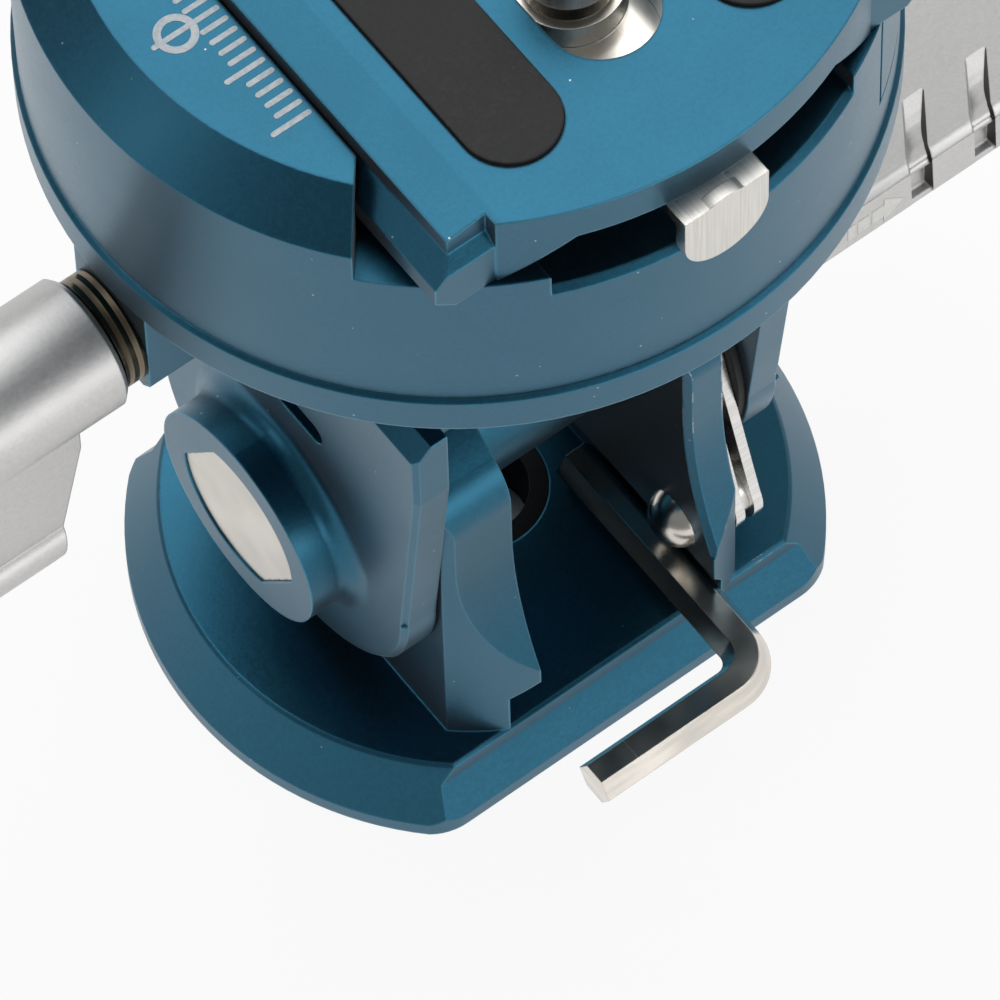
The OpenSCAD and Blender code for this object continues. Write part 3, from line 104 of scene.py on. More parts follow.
class Graph:
    """A node tree with short calls that add and join nodes."""

    def __init__(self, tree: bpy.types.NodeTree) -> None:
        """Keep the node tree of a material, a world or a group."""
        self.tree = tree

    def join(self, target: Socket, value: object) -> None:
        """Link a socket to an input, or set the input's own value.

        Args:
            target: the input.
            value: a socket, a number or a colour.
        """
        if isinstance(value, Socket):
            self.tree.links.new(value, target)
        elif isinstance(value, tuple) and target.type == "RGBA":
            target.default_value = (*value, 1.0)
        else:
            target.default_value = value

    def find(self, kind: str) -> Node:
        """Return the first node of a type that the tree already has."""
        return next(node for node in self.tree.nodes if node.type == kind)

    def node(self, kind: str, inputs: Optional[dict] = None, **settings: object) -> Node:
        """Add a node.

        Args:
            kind: the node's type.
            inputs: values or sockets by the input's name or number.
            settings: the node's own properties.

        Returns:
            The new node.
        """
        made = self.tree.nodes.new(kind)
        for name, value in settings.items():
            setattr(made, name, value)
        for name, value in (inputs or {}).items():
            self.join(made.inputs[name], value)
        return made

    def math(self, operation: str, a: Value, b: Value = 0.0, clamp: bool = False) -> Socket:
        """Add a Math node, held between 0 and 1 where clamp is set, and return its output."""
        return self.node("ShaderNodeMath", {0: a, 1: b}, operation=operation, use_clamp=clamp).outputs[0]

    def scaled(self, value: Value, share: float) -> Socket:
        """Return a value times a share."""
        return self.math("MULTIPLY", value, share)

    def mix(self, factor: Value, a: object, b: object) -> Socket:
        """Mix two colours by the second one's share, and return the result."""
        return self.node("ShaderNodeMix", {0: factor, 6: a, 7: b}, data_type="RGBA").outputs[2]

    def span(self, value: Value, low: float, high: float) -> Socket:
        """Map a value smoothly from the range low to high to 0 to 1, held at both ends."""
        inputs = {0: value, 1: low, 2: high}
        return self.node("ShaderNodeMapRange", inputs, interpolation_type="SMOOTHSTEP").outputs[0]

    def object_point(self) -> Socket:
        """Return the Object coordinates."""
        return self.node("ShaderNodeTexCoord").outputs["Object"]

    def noise(self, point: Socket, scale: Value, detail: float = 3.0, rough: float = 0.55) -> Socket:
        """Return noise at a point, by cycles a metre, octaves and the share that each octave keeps."""
        inputs = {"Vector": point, "Scale": scale, "Detail": detail, "Roughness": rough}
        return self.node("ShaderNodeTexNoise", inputs).outputs[0]

    def stretch(self, point: Socket, scale: Triple, turn: Triple) -> Socket:
        """Scale coordinates along each axis and turn them about it, in radians."""
        inputs = {"Vector": point, "Scale": scale, "Rotation": turn}
        return self.node("ShaderNodeMapping", inputs).outputs[0]

    def group(self, tree: bpy.types.NodeTree, **inputs: Value) -> Node:
        """Place a shared group.

        Args:
            tree: the group.
            inputs: values by the input's name.

        Returns:
            The group's node.
        """
        made = self.node("ShaderNodeGroup")
        made.node_tree = tree
        for name, value in inputs.items():
            self.join(made.inputs[name.replace("_", " ")], value)
        return made


class Effects:
    """Shader groups that several finishes share, each built once."""

    EDGE_COSINES = (0.995, 0.86)  # of the normals' angle, where a mask starts and is full
    COARSE_SCALE = 0.43  # of the coarse grain to the fine one
    FINE_SHARE = 0.6
    SMUDGE_SPAN = (0.35, 0.7)
    SPECK_CHANCE = (0.55, 0.6)
    SPECK_RIM = (0.06, 0.03)  # in cells
    STREAK_SCALE = (2600.0, 60.0, 2600.0)
    STREAK_TURNS = ((0.3, 0.9, 0.5), (1.2, 0.2, 1.9))
    STREAK_SPAN = (0.735, 0.77)

    def __init__(self) -> None:
        """Build every group."""
        self.edge = self._edge()
        self.grain = self._grain()
        self.handling = self._handling()
        self.turning = self._turning()
        self.thread = self._thread()

    @staticmethod
    def _new(name: str, inputs: dict[str, float], outputs: Sequence[str]) -> tuple[Graph, Node, Node]:
        """Start a group.

        Args:
            name: the group's name.
            inputs: default values by name.
            outputs: names; the one called Normal is a direction and the others are values.

        Returns:
            The group's graph, its input node and its output node.
        """
        tree = bpy.data.node_groups.new(name, "ShaderNodeTree")
        for label, value in inputs.items():
            socket = tree.interface.new_socket(label, in_out="INPUT", socket_type="NodeSocketFloat")
            socket.default_value = value
        for label in outputs:
            kind = "NodeSocketVector" if label == "Normal" else "NodeSocketFloat"
            tree.interface.new_socket(label, in_out="OUTPUT", socket_type=kind)
        graph = Graph(tree)
        return graph, graph.node("NodeGroupInput"), graph.node("NodeGroupOutput")

    def _edge(self) -> bpy.types.NodeTree:
        """Rounded normals, and masks along edges by how far those turn from the face's own normal.

        Returns:
            The group.
        """
        graph, given, out = self._new(
            "soft_edge", {"Radius": 0.0003, "Reach": 0.0006}, ("Normal", "Edge", "Wide Edge"),
        )
        face = graph.node("ShaderNodeNewGeometry").outputs["Normal"]
        near = graph.node("ShaderNodeBevel", {"Radius": given.outputs["Radius"]}, samples=6)
        wide = graph.node("ShaderNodeBevel", {"Radius": given.outputs["Reach"]}, samples=6)
        graph.join(out.inputs["Normal"], near.outputs[0])
        for made, label in ((near, "Edge"), (wide, "Wide Edge")):
            dot = graph.node("ShaderNodeVectorMath", {0: made.outputs[0], 1: face}, operation="DOT_PRODUCT")
            graph.join(out.inputs[label], graph.span(dot.outputs["Value"], *self.EDGE_COSINES))
        return graph.tree

    def _grain(self) -> bpy.types.NodeTree:
        """Fine blasted grain: fine noise and a smaller share of noise at under half its scale.

        Returns:
            The group.
        """
        graph, given, out = self._new("blasted_grain", {"Scale": 6000.0}, ("Grain",))
        point = graph.object_point()
        fine = graph.noise(point, given.outputs["Scale"], 2.0)
        coarse = graph.noise(point, graph.scaled(given.outputs["Scale"], self.COARSE_SCALE), 1.0)
        parts = graph.scaled(fine, self.FINE_SHARE), graph.scaled(coarse, 1 - self.FINE_SHARE)
        graph.join(out.inputs["Grain"], graph.math("ADD", *parts))
        return graph.tree

    def _handling(self) -> bpy.types.NodeTree:
        """Marks of use: broad smudges, specks of dust and short thin scratches.

        Returns:
            The group.
        """
        graph, given, out = self._new(
            "handling_marks", {"Smudge Scale": 90.0, "Dust Scale": 900.0},
            ("Smudge", "Dust", "Scratch"),
        )
        point = graph.object_point()
        smudge = graph.noise(point, given.outputs["Smudge Scale"], 4.0, 0.6)
        graph.join(out.inputs["Smudge"], graph.span(smudge, *self.SMUDGE_SPAN))
        cells = graph.node("ShaderNodeTexVoronoi", {"Vector": point, "Scale": given.outputs["Dust Scale"]})
        chance = graph.node("ShaderNodeSeparateColor", {0: cells.outputs["Color"]}).outputs[0]
        rare = graph.span(chance, *self.SPECK_CHANCE)
        dot = graph.span(cells.outputs["Distance"], *self.SPECK_RIM)
        graph.join(out.inputs["Dust"], graph.math("MULTIPLY", rare, dot))
        lines = 0.0
        for turn in self.STREAK_TURNS:
            streak = graph.noise(graph.stretch(point, self.STREAK_SCALE, turn), 1.0, 1.0)
            lines = graph.math("MAXIMUM", lines, graph.span(streak, *self.STREAK_SPAN))
        graph.join(out.inputs["Scratch"], lines)
        return graph.tree

    def _turning(self) -> bpy.types.NodeTree:
        """Tool lines: noise drawn out along two axes, so that it changes quickly along the third only.

        Returns:
            The group.
        """
        graph, given, out = self._new("tool_lines", {f"Pitch {axis.name}": 1.0 for axis in Axis}, ("Line",))
        scale = graph.node("ShaderNodeCombineXYZ", {axis.value: given.outputs[axis.value] for axis in Axis})
        inputs = {0: graph.object_point(), 1: scale.outputs[0]}
        point = graph.node("ShaderNodeVectorMath", inputs, operation="MULTIPLY")
        graph.join(out.inputs["Line"], graph.noise(point.outputs[0], 1.0, 2.0, 0.7))
        return graph.tree

    def _thread(self) -> bpy.types.NodeTree:
        """A thread along X: a triangle wave of the length in pitches plus the turn about the axis.

        Returns:
            The group.
        """
        inputs = {"Pitch": 0.001, "Axis Y": 0.0, "Axis Z": 0.0}
        graph, given, out = self._new("screw_thread", inputs, ("Height",))
        axes = graph.node("ShaderNodeSeparateXYZ", {0: graph.object_point()})
        across = graph.math("SUBTRACT", axes.outputs[1], given.outputs["Axis Y"])
        up = graph.math("SUBTRACT", axes.outputs[2], given.outputs["Axis Z"])
        turns = graph.math("DIVIDE", graph.math("ARCTAN2", up, across), 2 * math.pi)
        pitches = graph.math("DIVIDE", axes.outputs[0], given.outputs["Pitch"])
        wave = graph.math("PINGPONG", graph.math("ADD", pitches, turns), 0.5)
        graph.join(out.inputs["Height"], graph.scaled(wave, 2.0))
        return graph.tree


# Finishes


def new_material(name: str) -> tuple[bpy.types.Material, Graph]:
    """Start a material.

    Args:
        name: the material's name.

    Returns:
        The material and its graph.
    """
    material = bpy.data.materials.new(name)
    material.use_nodes = True
    return material, Graph(material.node_tree)


@dataclass(frozen=True)
class Finish:
    """What every finish has: rounded edges, a grain, marks of use and a principled surface.

    Attributes:
        name: the material's name.
        slot: the record's material slot.
        roughness: mean roughness.
        edge_mm: radius that edges look rounded to.
        grain: grains a metre.
        grain_mm: depth of the grain.
        grain_rough: change of roughness over the grain.
        swing: the colour's factors at the grain's low and high ends.
        smudge: smudges a metre.
        smudge_rough: how much rougher a smudge is.
        dust: cells a metre that may hold a speck of dust.
    """

    SWING_SPAN = (0.3, 0.7)

    name: str
    slot: str
    roughness: float = 0.4
    edge_mm: float = 0.2
    grain: float = 3000.0
    grain_mm: float = 0.01
    grain_rough: float = 0.1
    swing: Pair = (0.9, 1.1)
    smudge: float = 160.0
    smudge_rough: float = 0.05
    dust: float = 900.0

    def make(self, effects: Effects) -> bpy.types.Material:
        """Build the material.

        Args:
            effects: the shared groups.

        Returns:
            The material.
        """
        material, graph = new_material(self.name)
        radius = self.edge_mm * MM
        edge = graph.group(effects.edge, Radius=radius, Reach=WIDE_EDGE * radius)
        self.paint(graph, graph.find("BSDF_PRINCIPLED"), edge, effects)
        return material

    def paint(self, graph: Graph, surface: Node, edge: Node, effects: Effects) -> None:
        """Join colour, roughness and bump to the surface.

        Args:
            graph: the material's graph.
            surface: the principled shader.
            edge: the edge group's node.
            effects: the shared groups.
        """
        raise NotImplementedError

    def grains(self, graph: Graph, effects: Effects) -> Socket:
        """Place the grain group and return its value."""
        return graph.group(effects.grain, Scale=self.grain).outputs["Grain"]

    def marks(self, graph: Graph, effects: Effects) -> dict[str, Socket]:
        """Place the group of marks of use and return its outputs."""
        node = graph.group(effects.handling, Smudge_Scale=self.smudge, Dust_Scale=self.dust)
        return {socket.name: socket for socket in node.outputs}

    def vary(self, graph: Graph, mask: Socket, colour: Colour) -> Socket:
        """Swing a colour between its two factors, as a mask of about 0.5 in the mean goes."""
        low, high = (tuple(min(1.0, factor * c) for c in colour) for factor in self.swing)
        return graph.mix(graph.span(mask, *self.SWING_SPAN), low, high)

    def uneven(self, graph: Graph, *changes: tuple[Socket, float, float]) -> Socket:
        """Add changes to the mean roughness: each value less its middle, times its share.

        Args:
            graph: the material's graph.
            changes: a value, its middle and its share.

        Returns:
            The roughness socket.
        """
        rough = self.roughness
        for value, middle, share in changes:
            change = graph.scaled(graph.math("SUBTRACT", value, middle), share)
            rough = graph.math("ADD", rough, change)
        return rough

    def bump(self, graph: Graph, surface: Node, edge: Node, height: Socket, depth_mm: float) -> None:
        """Join a bump over the rounded normal, where a height of 1 stands for depth_mm."""
        inputs = {"Strength": 1.0, "Distance": depth_mm * MM, "Height": height, "Normal": edge.outputs[0]}
        graph.join(surface.inputs["Normal"], graph.node("ShaderNodeBump", inputs).outputs[0])


def set_inputs(graph: Graph, surface: Node, values: dict[str, object]) -> None:
    """Join sockets to a shader's inputs, or set constants on them, by the input's name."""
    for label, value in values.items():
        graph.join(surface.inputs[label], value)


@dataclass(frozen=True)
class Anodised(Finish):
    """Dyed anodised aluminium, finely blasted, with a painted highlight along its edges and a clear oxide
    skin.

    Attributes:
        dye: colour of the dyed metal.
        pale: colour of the painted highlight along edges.
        edge_highlight_share: how much of the painted highlight shows there.
        bare: colour of dust, and of the metal where the skin is chipped off.
        dust_share: how much the dust covers.
        skin: weight, roughness and index of the clear skin.
        haze: share of the dusty haze that shows at flat angles.
        haze_rough: the haze's roughness.
        chips: middle and reach of each chipped stretch of edge, in millimetres.
    """

    TORN_NOISE = (520.0, 5.0, 0.7)
    TORN_SPAN = (0.46, 0.54)
    CHIP_EDGE = (0.2, 0.6)
    CHIP_FADE = 0.8  # share of a chip's reach where it starts to fade

    grain: float = 5200.0
    grain_mm: float = 0.012
    grain_rough: float = 0.22
    smudge: float = 70.0
    dust: float = 620.0
    dye: Colour = (0.017, 0.108, 0.175)
    pale: Colour = (0.08, 0.34, 0.50)
    edge_highlight_share: float = 0.7
    bare: Colour = (0.82, 0.81, 0.78)
    dust_share: float = 0.5
    skin: Triple = (0.15, 0.3, 1.6)
    haze: float = 0.15
    haze_rough: float = 0.45
    chips: Sequence[tuple[Triple, float]] = ()

    def paint(self, graph: Graph, surface: Node, edge: Node, effects: Effects) -> None:
        """Join dye, edge and chip colours, and the blasted grain.

        Args:
            graph: the material's graph.
            surface: the principled shader.
            edge: the edge group's node.
            effects: the shared groups.
        """
        grain, marks = self.grains(graph, effects), self.marks(graph, effects)
        tone = self.vary(graph, grain, self.dye)
        # painted highlight: edges are mixed towards the pale colour
        tone = graph.mix(graph.scaled(edge.outputs["Edge"], self.edge_highlight_share), tone, self.pale)
        tone = graph.mix(graph.scaled(marks["Dust"], self.dust_share), tone, self.bare)
        if self.chips:
            tone = graph.mix(self._chipped(graph, edge), tone, self.bare)
        rough = self.uneven(graph, (grain, 0.5, self.grain_rough), (marks["Smudge"], 0.0, self.smudge_rough))
        weight, skin_rough, index = self.skin
        set_inputs(graph, surface, {
            "Base Color": tone, "Roughness": rough, "Metallic": 1.0, "Coat Weight": weight,
            "Coat Roughness": skin_rough, "Coat IOR": index, "Sheen Weight": self.haze,
            "Sheen Roughness": self.haze_rough,
        })
        self.bump(graph, surface, edge, grain, self.grain_mm)

    def _chipped(self, graph: Graph, edge: Node) -> Socket:
        """Mask of chipped edges: the edge mask, torn by noise and held to the listed stretches.

        Args:
            graph: the material's graph.
            edge: the edge group's node.

        Returns:
            The mask's socket.
        """
        point = graph.object_point()
        near = 0.0
        for middle, reach in self.chips:
            place = tuple(c * MM for c in middle)
            away = graph.node("ShaderNodeVectorMath", {0: point, 1: place}, operation="DISTANCE")
            spot = graph.span(away.outputs["Value"], reach * MM, self.CHIP_FADE * reach * MM)
            near = graph.math("MAXIMUM", near, spot)
        torn = graph.span(graph.noise(point, *self.TORN_NOISE), *self.TORN_SPAN)
        worn = graph.math("MULTIPLY", graph.span(edge.outputs["Edge"], *self.CHIP_EDGE), torn)
        return graph.math("MULTIPLY", worn, near)


@dataclass(frozen=True)
class Blasted(Finish):
    """Clear anodised aluminium with a sandblasted grain and bright edges.

    Attributes:
        metal: colour of the blasted metal.
        bright: colour along polished edges.
        bright_share: how much of it shows there.
    """

    grain: float = 4200.0
    grain_mm: float = 0.014
    grain_rough: float = 0.2
    swing: Pair = (0.93, 1.05)
    smudge: float = 60.0
    dust: float = 500.0
    metal: Colour = (0.60, 0.59, 0.58)
    bright: Colour = (0.82, 0.82, 0.81)
    bright_share: float = 0.3

    def paint(self, graph: Graph, surface: Node, edge: Node, effects: Effects) -> None:
        """Join the metal's colour, brighter edges and the grain.

        Args:
            graph: the material's graph.
            surface: the principled shader.
            edge: the edge group's node.
            effects: the shared groups.
        """
        grain, marks = self.grains(graph, effects), self.marks(graph, effects)
        tone = self.vary(graph, grain, self.metal)
        tone = graph.mix(graph.scaled(edge.outputs["Edge"], self.bright_share), tone, self.bright)
        rough = self.uneven(graph, (grain, 0.5, self.grain_rough), (marks["Smudge"], 0.0, self.smudge_rough))
        set_inputs(graph, surface, {"Base Color": tone, "Roughness": rough, "Metallic": 1.0})
        self.bump(graph, surface, edge, grain, self.grain_mm)


@dataclass(frozen=True)
class Machined(Finish):
    """Bare or plated metal with tool lines along one axis, scratches and grime along its edges.

    Attributes:
        metal: the metal's colour.
        grime: colour of what gathers along edges.
        grime_share: how much gathers there.
        lay: the axis that the tool lines are counted along.
        lines: tool lines a metre.
        cross: changes a metre along the lines.
        line_mm: depth of the tool lines.
        line_rough: change of roughness over the lines.
        scratch_rough: how much rougher a scratch is.
        thread: pitch of a thread along X in millimetres, or none.
        thread_on: the node that carries the thread and gives its axis.
        thread_depth: depth of the thread in pitches.
    """

    PATCH_NOISE = (700.0, 4.0, 0.65)
    PATCH_SPAN = (0.45, 0.62)

    swing: Pair = (0.9, 1.08)
    smudge_rough: float = 0.1
    metal: Colour = (0.68, 0.66, 0.62)
    grime: Colour = (0.20, 0.16, 0.11)
    grime_share: float = 0.1
    lay: Axis = Axis.X
    lines: float = 7000.0
    cross: float = 120.0
    line_mm: float = 0.002
    line_rough: float = 0.12
    scratch_rough: float = 0.1
    thread: Optional[float] = None
    thread_on: str = ""
    thread_depth: float = 0.45

    def paint(self, graph: Graph, surface: Node, edge: Node, effects: Effects) -> None:
        """Join the metal's colour, grime, scratches and tool lines.

        Args:
            graph: the material's graph.
            surface: the principled shader.
            edge: the edge group's node.
            effects: the shared groups.
        """
        pitch = {f"Pitch_{axis.name}": self.lines if axis is self.lay else self.cross for axis in Axis}
        line = graph.group(effects.turning, **pitch).outputs["Line"]
        marks = self.marks(graph, effects)
        patch = graph.span(graph.noise(graph.object_point(), *self.PATCH_NOISE), *self.PATCH_SPAN)
        dirt = graph.scaled(graph.math("MULTIPLY", edge.outputs["Wide Edge"], patch), self.grime_share)
        tone = graph.mix(dirt, self.vary(graph, line, self.metal), self.grime)
        rough = self.uneven(
            graph, (marks["Smudge"], 0.0, self.smudge_rough), (line, 0.5, self.line_rough),
            (marks["Scratch"], 0.0, self.scratch_rough),
        )
        set_inputs(graph, surface, {"Base Color": tone, "Roughness": rough, "Metallic": 1.0})
        if self.thread is None:
            self.bump(graph, surface, edge, line, self.line_mm)
            return
        low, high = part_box(self.thread_on)
        axis = (low + high) / 2
        ridge = graph.group(effects.thread, Pitch=self.thread * MM, Axis_Y=axis.y, Axis_Z=axis.z)
        self.bump(graph, surface, edge, ridge.outputs["Height"], self.thread_depth * self.thread)


@dataclass(frozen=True)
class Moulded(Finish):
    """Rubber or polymer with a fine pebble and a little dust.

    Attributes:
        body: the material's colour.
        dusty: colour of the dust on it.
        film: share of dust on the pebble's tops, and what a smudge adds to it.
    """

    PEBBLE_TOPS = (0.4, 0.75)

    grain: float = 2600.0
    grain_mm: float = 0.03
    grain_rough: float = 0.15
    smudge: float = 80.0
    dust: float = 700.0
    body: Colour = (0.012, 0.012, 0.013)
    dusty: Colour = (0.05, 0.049, 0.047)
    film: Pair = (0.25, 0.25)

    def paint(self, graph: Graph, surface: Node, edge: Node, effects: Effects) -> None:
        """Join body and dust colours, and the pebble.

        Args:
            graph: the material's graph.
            surface: the principled shader.
            edge: the edge group's node.
            effects: the shared groups.
        """
        grain, marks = self.grains(graph, effects), self.marks(graph, effects)
        film = graph.math("ADD", self.film[0], graph.scaled(marks["Smudge"], self.film[1]))
        haze = graph.math("MULTIPLY", graph.span(grain, *self.PEBBLE_TOPS), film)
        tone = graph.mix(graph.math("MAXIMUM", haze, marks["Dust"]), self.body, self.dusty)
        rough = self.uneven(graph, (grain, 0.0, self.grain_rough))
        set_inputs(graph, surface, {"Base Color": tone, "Roughness": rough})
        self.bump(graph, surface, edge, grain, self.grain_mm)


@dataclass(frozen=True)
class Printed(Finish):
    """Laser-marked or filled lines, matt and slightly uneven.

    Attributes:
        ink: the marks' colour.
        worn: the colour where they are thin.
    """

    WORN_SPAN = (0.35, 0.65)

    ink: Colour = (0.62, 0.66, 0.68)
    worn: Colour = (0.46, 0.52, 0.56)

    def paint(self, graph: Graph, surface: Node, edge: Node, effects: Effects) -> None:
        """Join the ink's colours and a slight grain.

        Args:
            graph: the material's graph.
            surface: the principled shader.
            edge: the edge group's node.
            effects: the shared groups.
        """
        grain = self.grains(graph, effects)
        tone = graph.mix(graph.span(grain, *self.WORN_SPAN), self.worn, self.ink)
        rough = self.uneven(graph, (grain, 0.0, self.grain_rough))
        set_inputs(graph, surface, {"Base Color": tone, "Roughness": rough})
        self.bump(graph, surface, edge, grain, self.grain_mm)


# Surfaces


def grid_piece(name: str, grids: Sequence[np.ndarray], wrap: bool = True) -> bpy.types.Object:
    """Make one mesh of several grids of points, in millimetres.

    A face joins each point to its next ones along both directions; the second direction may close on itself.

    Args:
        name: the piece's name.
        grids: arrays of rows by columns by three.
        wrap: whether each row closes on itself.

    Returns:
        The new object, linked to the scene.
    """
    points, faces, start = [], [], 0
    for grid in grids:
        rows, columns, _ = grid.shape
        index = start + np.arange(rows * columns).reshape(rows, columns)
        ahead = np.roll(index, -1, axis=1)
        if not wrap:
            index, ahead = index[:, :-1], ahead[:, :-1]
        quads = np.stack([index[:-1], ahead[:-1], ahead[1:], index[1:]], axis=-1)
        faces.append(quads.reshape(-1, 4))
        points.append(grid.reshape(-1, 3))
        start += rows * columns
    mesh = bpy.data.meshes.new(name)
    mesh.from_pydata((np.concatenate(points) * MM).tolist(), [], np.concatenate(faces).tolist())
    made = bpy.data.objects.new(name, mesh)
    bpy.context.scene.collection.objects.link(made)
    tidy(made)
    return made


def tidy(piece: bpy.types.Object) -> None:
    """Merge a mesh's doubled points, drop empty faces and turn its faces outwards.

    Args:
        piece: the mesh object.
    """
    work = bmesh.new()
    work.from_mesh(piece.data)
    bmesh.ops.remove_doubles(work, verts=work.verts, dist=1e-7)
    bmesh.ops.dissolve_degenerate(work, edges=work.edges, dist=1e-8)
    bmesh.ops.recalc_face_normals(work, faces=work.faces)
    work.to_mesh(piece.data)
    work.free()


def smooth(piece: bpy.types.Object) -> None:
    """Shade every face of a piece smooth."""
    piece.data.polygons.foreach_set("use_smooth", np.ones(len(piece.data.polygons), bool))
    piece.data.update()


def slab(outline: np.ndarray, centre: Sequence[float], height: float) -> np.ndarray:
    """A thin slab: from the outline's middle at the bottom, out to the outline, up, and back to the middle.

    Args:
        outline: points of a closed outline round the middle, by two.
        centre: the middle, by two.
        height: the slab's height.

    Returns:
        A grid of four rows.
    """
    middle = np.broadcast_to(np.asarray(centre, float), outline.shape)
    rows = [(middle, 0.0), (outline, 0.0), (outline, height), (middle, height)]
    return np.stack([np.column_stack([xy, np.full(len(xy), z)]) for xy, z in rows])


def capsule(a: Sequence[float], b: Sequence[float], width: float, count: int = 24) -> np.ndarray:
    """Outline of a line with round ends: each half of a circle moved to one end.

    Args:
        a: one end's middle.
        b: the other end's middle.
        width: the line's width.
        count: points round it.

    Returns:
        The outline's points, by two.
    """
    run = np.subtract(b, a)
    along = math.atan2(run[1], run[0])
    turn = np.linspace(-np.pi / 2, 1.5 * np.pi, count, endpoint=False) + along
    ends = np.where((np.arange(count) < count // 2)[:, None], np.asarray(b, float), np.asarray(a, float))
    return ends + width / 2 * np.column_stack([np.cos(turn), np.sin(turn)])


def band(radius: float, width: float, centre: Sequence[float], height: float, count: int = 64) -> np.ndarray:
    """A flat ring: a small rectangle carried round a circle.

    Args:
        radius: mean radius.
        width: the ring's width.
        centre: its middle, by two.
        height: its height.
        count: points round it.

    Returns:
        A grid of five rows, the last on the first.
    """
    turn = np.linspace(0, 2 * np.pi, count, endpoint=False)
    corners = ((-0.5, 0.0), (0.5, 0.0), (0.5, 1.0), (-0.5, 1.0), (-0.5, 0.0))
    way = np.column_stack([np.cos(turn), np.sin(turn), np.zeros(count)])
    rows = []
    for across, up in corners:
        rows.append((radius + across * width) * way + np.array([*centre, up * height]))
    return np.stack(rows)


def closed(grid: np.ndarray) -> np.ndarray:
    """Close a grid's ends: a row at the middle of its first row, and one at the middle of its last.

    Args:
        grid: rows that each go round.

    Returns:
        The grid with both rows added.
    """
    first, last = (np.broadcast_to(grid[k].mean(axis=0), (1, *grid[k].shape)) for k in (0, -1))
    return np.concatenate([first, grid, last])


def coil(radius: float, length: float) -> np.ndarray:
    """A round wire wound on the X axis: a small circle carried along a helix, with closed ends.

    Args:
        radius: the helix's radius.
        length: length over the wire.

    Returns:
        A grid whose rows run along the wire.
    """
    count = int(SPRING_TURNS * SPRING_RINGS) + 1
    turn = np.linspace(0, 2 * np.pi * SPRING_TURNS, count)
    along = np.linspace(SPRING_WIRE, length - SPRING_WIRE, count)
    radial = np.stack([np.zeros(count), np.sin(turn), np.cos(turn)], 1)
    middle = radius * radial + np.column_stack([along, np.zeros(count), np.zeros(count)])
    round_wire = np.linspace(0, 2 * np.pi, SPRING_SIDES, endpoint=False)[None, :, None]
    offset = np.cos(round_wire) * radial[:, None, :] + np.sin(round_wire) * np.array([1.0, 0, 0])
    return closed(middle[:, None, :] + SPRING_WIRE * offset)


def wind(node: str, count: int = 1) -> bpy.types.Object:
    """Wind smooth springs along X where a node has its own, side by side along Y.

    Args:
        node: the node that they stand for.
        count: how many it has.

    Returns:
        One piece with all of them.
    """
    low, high = (np.array(corner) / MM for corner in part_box(node))
    outer = (high[2] - low[2]) / 2
    spring = coil(outer - SPRING_WIRE, high[0] - low[0])
    across = np.linspace(low[1] + outer, high[1] - outer, count)
    piece = grid_piece(node + "_wire", [spring + np.array([low[0], y, low[2] + outer]) for y in across])
    smooth(piece)
    return piece


class Palette(Enum):
    """Every finish on the head."""

    BLUE = Anodised("blue_anodised", "blue_anodised", 0.36, 0.25)
    CHIPPED_BLUE = Anodised("chipped_blue_anodised", "blue_anodised", 0.36, 0.25, chips=(
        ((7.7, -15.0, 31.0), 5.5), ((10.8, -16.5, 14.0), 3.2), ((12.5, -17.1, 5.9), 0.5),
        ((13.6, -17.1, 5.9), 0.5),
    ))
    LEVER = Blasted("blasted_silver", "silver_anodised", 0.44, 0.2)
    STEEL = Machined("turned_steel", "steel", 0.26, 0.1)
    GROUND = Machined("ground_plate", "steel", 0.22, 0.08, metal=(0.74, 0.73, 0.71), lay=Axis.Z, lines=5000.0)
    STAKED = Machined(
        "staked_shaft", "steel", 0.42, 0.15, metal=(0.72, 0.69, 0.64), grime=(0.05, 0.045, 0.04),
        grime_share=1.0, lines=1800.0,
    )
    NICKEL = Machined(
        "nickel", "nickel", 0.17, 0.12, metal=(0.70, 0.66, 0.60), grime_share=0.05, lay=Axis.Z, lines=900.0,
        line_mm=0.0006,
    )
    # painted shade: near-black steel for the thread bush, standing in for the shade inside the foot's bore
    BLACKED = Machined("shade_black_steel", "steel", 0.45, 0.1, metal=(0.03, 0.031, 0.034), grime_share=0.0)
    OILED = Machined(
        "oiled_thread", "nickel", 0.3, 0.12, metal=(0.20, 0.165, 0.115), grime=(0.02, 0.017, 0.012),
        grime_share=0.9, thread=0.8, thread_on="pan_lock_stud",
    )
    BRONZE = Machined("bronze", "bronze", 0.38, 0.1, metal=(0.55, 0.40, 0.20))
    # painted shade: near-black finish for the strips over the lever's groove walls, standing in for the shade
    # in the grooves
    SHADED = Machined(
        "groove_wall", "silver_anodised", 0.5, 0.05, metal=(0.09, 0.083, 0.078), grime_share=0.0,
    )
    RUBBER = Moulded("pad_rubber", "rubber", 0.62, 0.25)
    POLYMER = Moulded(
        "polymer", "polymer", 0.5, 0.15, grain_mm=0.005, body=(0.72, 0.71, 0.67), dusty=(0.6, 0.59, 0.55),
    )
    RULER = Printed("ruler_fill", "polymer", 0.6, 0.05)
    LASER = Printed(
        "laser_mark", "silver_anodised", 0.7, 0.05, ink=(0.97, 0.96, 0.90), worn=(0.92, 0.91, 0.85),
    )


Materials = dict[Palette, bpy.types.Material]


def dress_piece(piece: bpy.types.Object, finish: Palette, materials: Materials, *nodes: str) -> None:
    """Give a new piece its finish and slot, and hide the CAD nodes that it stands for.

    Args:
        piece: the piece, which already follows its body.
        finish: which finish.
        materials: made materials by finish.
        nodes: the nodes' names, if any.
    """
    piece.data.materials.append(materials[finish])
    if nodes:
        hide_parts(*nodes)
    LOG.info("%s: %s", piece.name, finish.name.lower())


# Sub-assemblies


